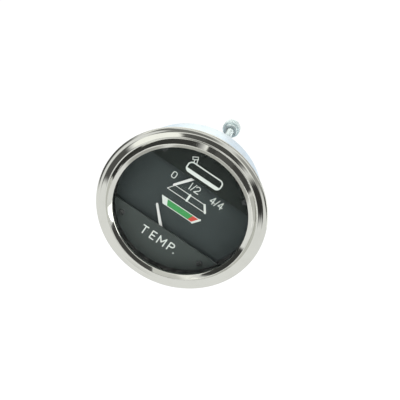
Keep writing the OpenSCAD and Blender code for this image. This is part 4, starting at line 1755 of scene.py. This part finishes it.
@dataclass
class LockWasher:
    """A split spring washer, whose ends stand apart.

    Attributes:
        inner_r: Inner radius.
        wire_share: Thickness of the wire, as a share of the washer's height.
        gap: Gap between the ends.
        edge_round: Round of the wire's edges.
        steps: Steps round the washer.
    """

    inner_r: float = 2.7
    wire_share: float = 0.8
    gap: float = 0.8
    edge_round: float = 0.15
    steps: int = 72

    def build(self, shop: Workshop, side: str, z: float) -> None:
        """Makes one washer.

        Args:
            shop: Where it is fitted.
            side: The stud that it sits on.
            z: Z of the stud.
        """
        node = side + "_lock_washer"
        box = Box.of(node)
        inner, outer = self.inner_r, box.high.x
        height = box.high.y - box.low.y
        thick = height * self.wire_share
        half_gap = math.asin(self.gap / 2 / outer)
        bm = bmesh.new()
        rings = []
        for share in (i / self.steps for i in range(self.steps + 1)):
            angle = FULL_TURN / 4 + half_gap + (FULL_TURN - 2 * half_gap) * share
            across, upward = math.sin(angle), math.cos(angle)
            low = box.low.y + (height - thick) * share
            corners = [(inner, low), (outer, low), (outer, low + thick), (inner, low + thick)]
            section = rounded(corners, self.edge_round, 2)
            rings.append([bm.verts.new((r * across, y, z + r * upward)) for r, y in section])
        join_rings(bm, rings)
        bm.faces.new(rings[0])
        bm.faces.new(list(reversed(rings[-1])))
        shop.fit(finish_mesh(bm, node + "_spring", Shading.CREASED), side + "_washer", node)


@dataclass
class StudGear:
    """Both mounting studs, each with its lock washer and its thumb nut."""

    stud: ThreadedStud = field(default_factory=ThreadedStud)
    nut: ThumbNut = field(default_factory=ThumbNut)
    washer: LockWasher = field(default_factory=LockWasher)

    def build(self, shop: Workshop, rear: RearPlaces) -> None:
        """Makes everything that fastens the gauge.

        Args:
            shop: Where it is fitted.
            rear: Where the studs stand.
        """
        self.stud.build(shop, rear)
        for side, z in zip(("upper", "lower"), rear.stud_z):
            self.nut.build(shop, side, z)
            self.washer.build(shop, side, z)


# Studio


@dataclass(frozen=True)
class Card:
    """A curved card round the gauge, which only mirroring surfaces see.

    Attributes:
        name: What stands there in the room.
        turn: Its left and right sides as seen from the gauge, in degrees to the right of the dial's front.
        rise: Its lower and upper sides, in degrees over the horizontal.
        shade: Its brightness.
        soft: Share of its width and height over which it fades out at each side.
        distance: How far it stands from the gauge, in millimetres.
        warmth: Its blue, as a share of its red and green.
        facet: Degrees between the lines of its mesh.
    """

    name: str
    turn: Point
    rise: Point
    shade: float
    soft: float
    distance: float
    warmth: float = 0.97
    facet: float = 6.0

    def place(self, u: float, v: float) -> Vector:
        """A point of the card.

        Args:
            u: Share of its width.
            v: Share of its height.

        Returns:
            The point, in millimetres.
        """
        turn = math.radians(self.turn[0] + (self.turn[1] - self.turn[0]) * u)
        rise = math.radians(self.rise[0] + (self.rise[1] - self.rise[0]) * v)
        flat = self.distance * math.cos(rise)
        return Vector((flat * math.sin(turn), -flat * math.cos(turn), self.distance * math.sin(rise)))

    def mesh(self) -> bpy.types.Object:
        """The card's surface, whose map runs from 0 to 1 on both sides.

        Returns:
            The card without its material.
        """
        columns = max(2, round((self.turn[1] - self.turn[0]) / self.facet))
        rows = max(2, round((self.rise[1] - self.rise[0]) / self.facet))
        bm = bmesh.new()
        grid = [
            [bm.verts.new(self.place(i / columns, k / rows)) for i in range(columns + 1)]
            for k in range(rows + 1)
        ]
        layer = bm.loops.layers.uv.new("card")
        for k in range(rows):
            for i in range(columns):
                corners = ((i, k), (i + 1, k), (i + 1, k + 1), (i, k + 1))
                face = bm.faces.new([grid[row][column] for column, row in corners])
                for loop, (column, row) in zip(face.loops, corners):
                    loop[layer].uv = (column / columns, row / rows)
        return finish_mesh(bm, self.name, Shading.SMOOTH)

    def material(self) -> bpy.types.Material:
        """Plain light of the card's shade, which fades out towards its edges.

        Returns:
            The material.
        """
        graph = MaterialGraph(self.name)
        sides = graph.split(graph.add("ShaderNodeUVMap", uv_map="card").outputs[0])
        masks = []
        for side in sides[:2]:
            from_edge = graph.math("MINIMUM", side, graph.math("SUBTRACT", 1.0, side))
            masks.append(graph.remap(from_edge, (0.0, self.soft), (0.0, 1.0)))
        colour = (self.shade, self.shade, self.shade * self.warmth)
        glow = graph.fill(graph.add("ShaderNodeEmission"), {"Color": colour}).outputs[0]
        clear = graph.add("ShaderNodeBsdfTransparent").outputs[0]
        return graph.show(graph.mix_shaders(graph.times(*masks), clear, glow))

    def build(self) -> None:
        """Sets the card up."""
        card = self.mesh()
        card.data.materials.append(self.material())
        card.visible_camera = False
        card.visible_diffuse = False
        card.visible_shadow = False
        card.visible_transmission = False


CARDS: tuple[Card, ...] = (
    Card("left_panel", (-184, -113), (2, 84), shade=1.4, soft=0.08, distance=1100),
    Card("left_pillar", (-116, -95), (-30, 76), shade=0.06, soft=0.12, distance=790),
    Card("left_softbox", (-96, -26), (11, 60), shade=1.3, soft=0.08, distance=1060),
    Card("left_block", (-106, -37), (-34, 9), shade=0.06, soft=0.08, distance=760),
    Card("left_low", (-46, -18), (-36, -11), shade=0.12, soft=0.2, distance=750),
    Card("light_strip", (-38, -15), (-13, 14), shade=1.45, soft=0.1, distance=995),
    Card("front_panel", (-38, -6), (14, 62), shade=0.85, soft=0.1, distance=1070),
    Card("dark_shelf", (-20, 4), (-14, -4), shade=0.25, soft=0.2, distance=985),
    Card("lit_shelf", (-20, 4), (-4, 6), shade=1.05, soft=0.2, distance=990),
    Card("dark_front", (-20, -4), (6, 20), shade=0.13, soft=0.15, distance=985),
    Card("photographer", (-7, 7), (6, 46), shade=0.1, soft=0.1, distance=980),
    Card("table", (4, 22), (-13, -3), shade=0.45, soft=0.2, distance=1010),
    Card("front_shelf", (4, 24), (-2, 9), shade=1.15, soft=0.15, distance=1005),
    Card("stand", (18, 38), (-14, 10), shade=0.05, soft=0.2, distance=985),
    Card("room_dark", (2, 51), (9, 37), shade=0.08, soft=0.1, distance=1000),
    Card("front_wall", (-4, 72), (34, 52), shade=0.42, soft=0.08, distance=1080),
    Card("overhead", (-50, 60), (48, 80), shade=1.35, soft=0.1, distance=1040),
    Card("right_wall", (50, 114), (3, 33), shade=0.68, soft=0.15, distance=1075),
    Card("right_dark", (94, 150), (32, 80), shade=0.08, soft=0.12, distance=1060),
    Card("right_low", (54, 88), (-66, -33), shade=0.58, soft=0.25, distance=465),
    Card("far_right", (112, 172), (-60, 3), shade=1.4, soft=0.3, distance=1095),
    Card("floor_shade", (-180, 180), (-90, -64), shade=0.6, soft=0.2, distance=420),
    Card("roof_gap", (-93, 5), (60, 80), shade=0.6, soft=0.2, distance=1095),
    Card("roof_left", (-184, 24), (75, 90), shade=0.08, soft=0.15, distance=780),
    Card("roof_right", (24, 220), (66, 90), shade=0.12, soft=0.15, distance=1000),
)


@dataclass(frozen=True)
class Lamp:
    """One soft lamp, which looks at the gauge."""

    name: str
    place: Place
    size: Point
    power: float

    def build(self) -> None:
        """Sets the lamp up."""
        light = bpy.data.lights.new(self.name, "AREA")
        light.shape = "RECTANGLE"
        light.size, light.size_y = self.size[0] * MM, self.size[1] * MM
        light.energy = self.power
        lamp = bpy.data.objects.new(self.name, light)
        lamp.visible_transmission = False
        lamp.location = Vector(self.place) * MM
        lamp.rotation_euler = (-lamp.location).to_track_quat("-Z", "Y").to_euler()
        bpy.context.scene.collection.objects.link(lamp)


@dataclass
class Studio:
    """Floor, world, lamps, reflection cards and camera."""

    camera_place: Place = (-38.0, -652.0, 324.5)
    camera_aim: Place = (6.6, 0.0, 13.6)
    camera_roll: float = 35.6
    lens: float = 97.7
    sensor: float = 36.0
    sky: Colour = (0.75, 0.77, 0.8)
    white: Colour = (1.0, 1.0, 1.0)
    floor_colour: Colour = (0.9, 0.9, 0.9)
    floor_glow: float = 1.12
    floor_glow_share: float = 0.85
    floor_z: float = -450.0
    floor_reach: float = 6000.0
    lamps: tuple[Lamp, ...] = (
        Lamp("key_lamp", (-500, -700, 900), (500, 500), 6.0),
        Lamp("fill_lamp", (800, -500, 300), (500, 700), 3.0),
    )

    def build_world(self) -> None:
        """A white world for what looks at it, and a soft plain one for light."""
        world = bpy.data.worlds.new("studio_world")
        bpy.context.scene.world = world
        world.use_nodes = True
        graph = Graph(world.node_tree)
        colour = graph.blend(graph.looked_at(), self.sky, self.white)
        background = graph.fill(graph.add("ShaderNodeBackground"), {"Color": colour, "Strength": 1.0})
        graph.fill(graph.add("ShaderNodeOutputWorld"), {"Surface": background.outputs[0]})

    def build_floor(self) -> None:
        """A large white floor well below the gauge, which keeps its shadow."""
        bm = bmesh.new()
        bmesh.ops.create_grid(bm, x_segments=4, y_segments=4, size=self.floor_reach)
        bmesh.ops.translate(bm, vec=(0, 0, self.floor_z), verts=bm.verts)
        floor = finish_mesh(bm, "floor", Shading.FLAT)
        graph = MaterialGraph("floor_white")
        share = graph.times(graph.looked_at(), self.floor_glow_share)
        plain = graph.fill(graph.add("ShaderNodeBsdfDiffuse"), {"Color": self.floor_colour})
        glow = graph.fill(graph.add("ShaderNodeEmission"), {"Strength": self.floor_glow})
        surface = graph.mix_shaders(share, plain.outputs[0], glow.outputs[0])
        floor.data.materials.append(graph.show(surface))

    def build_camera(self) -> None:
        """The camera at the photograph's place."""
        data = bpy.data.cameras.new("camera")
        data.lens = self.lens
        data.sensor_width = self.sensor
        camera = bpy.data.objects.new("camera", data)
        place = Vector(self.camera_place) * MM
        look = (Vector(self.camera_aim) * MM - place).to_track_quat("-Z", "Y")
        roll = Euler((0, 0, math.radians(self.camera_roll)))
        camera.location = place
        camera.rotation_euler = (look.to_matrix() @ roll.to_matrix()).to_euler()
        bpy.context.scene.collection.objects.link(camera)
        bpy.context.scene.camera = camera

    def build(self) -> None:
        """Sets up everything round the gauge."""
        bpy.context.scene.view_settings.view_transform = "Standard"
        self.build_world()
        self.build_floor()
        for thing in (*self.lamps, *CARDS):
            thing.build()
        self.build_camera()


def corners(bounds: Sequence[Vector]) -> list[list[float]]:
    """A box as plain lists of numbers."""
    return [[float(v) for v in corner] for corner in bounds]


def main() -> None:
    """Builds the gauge's pieces in order and lights them."""
    logging.basicConfig(level=logging.INFO, format="%(name)s: %(message)s")
    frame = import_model()
    shop = Workshop(frame)
    rear = RearPlaces()
    Bezel().build(shop)
    GlassPack().build(shop)
    Can().build(shop, rear)
    DialPack().build(shop)
    Pointers().build(shop)
    StudGear().build(shop, rear)
    shop.dress_nodes()
    Studio().build()


if __name__ == "__main__":
    main()
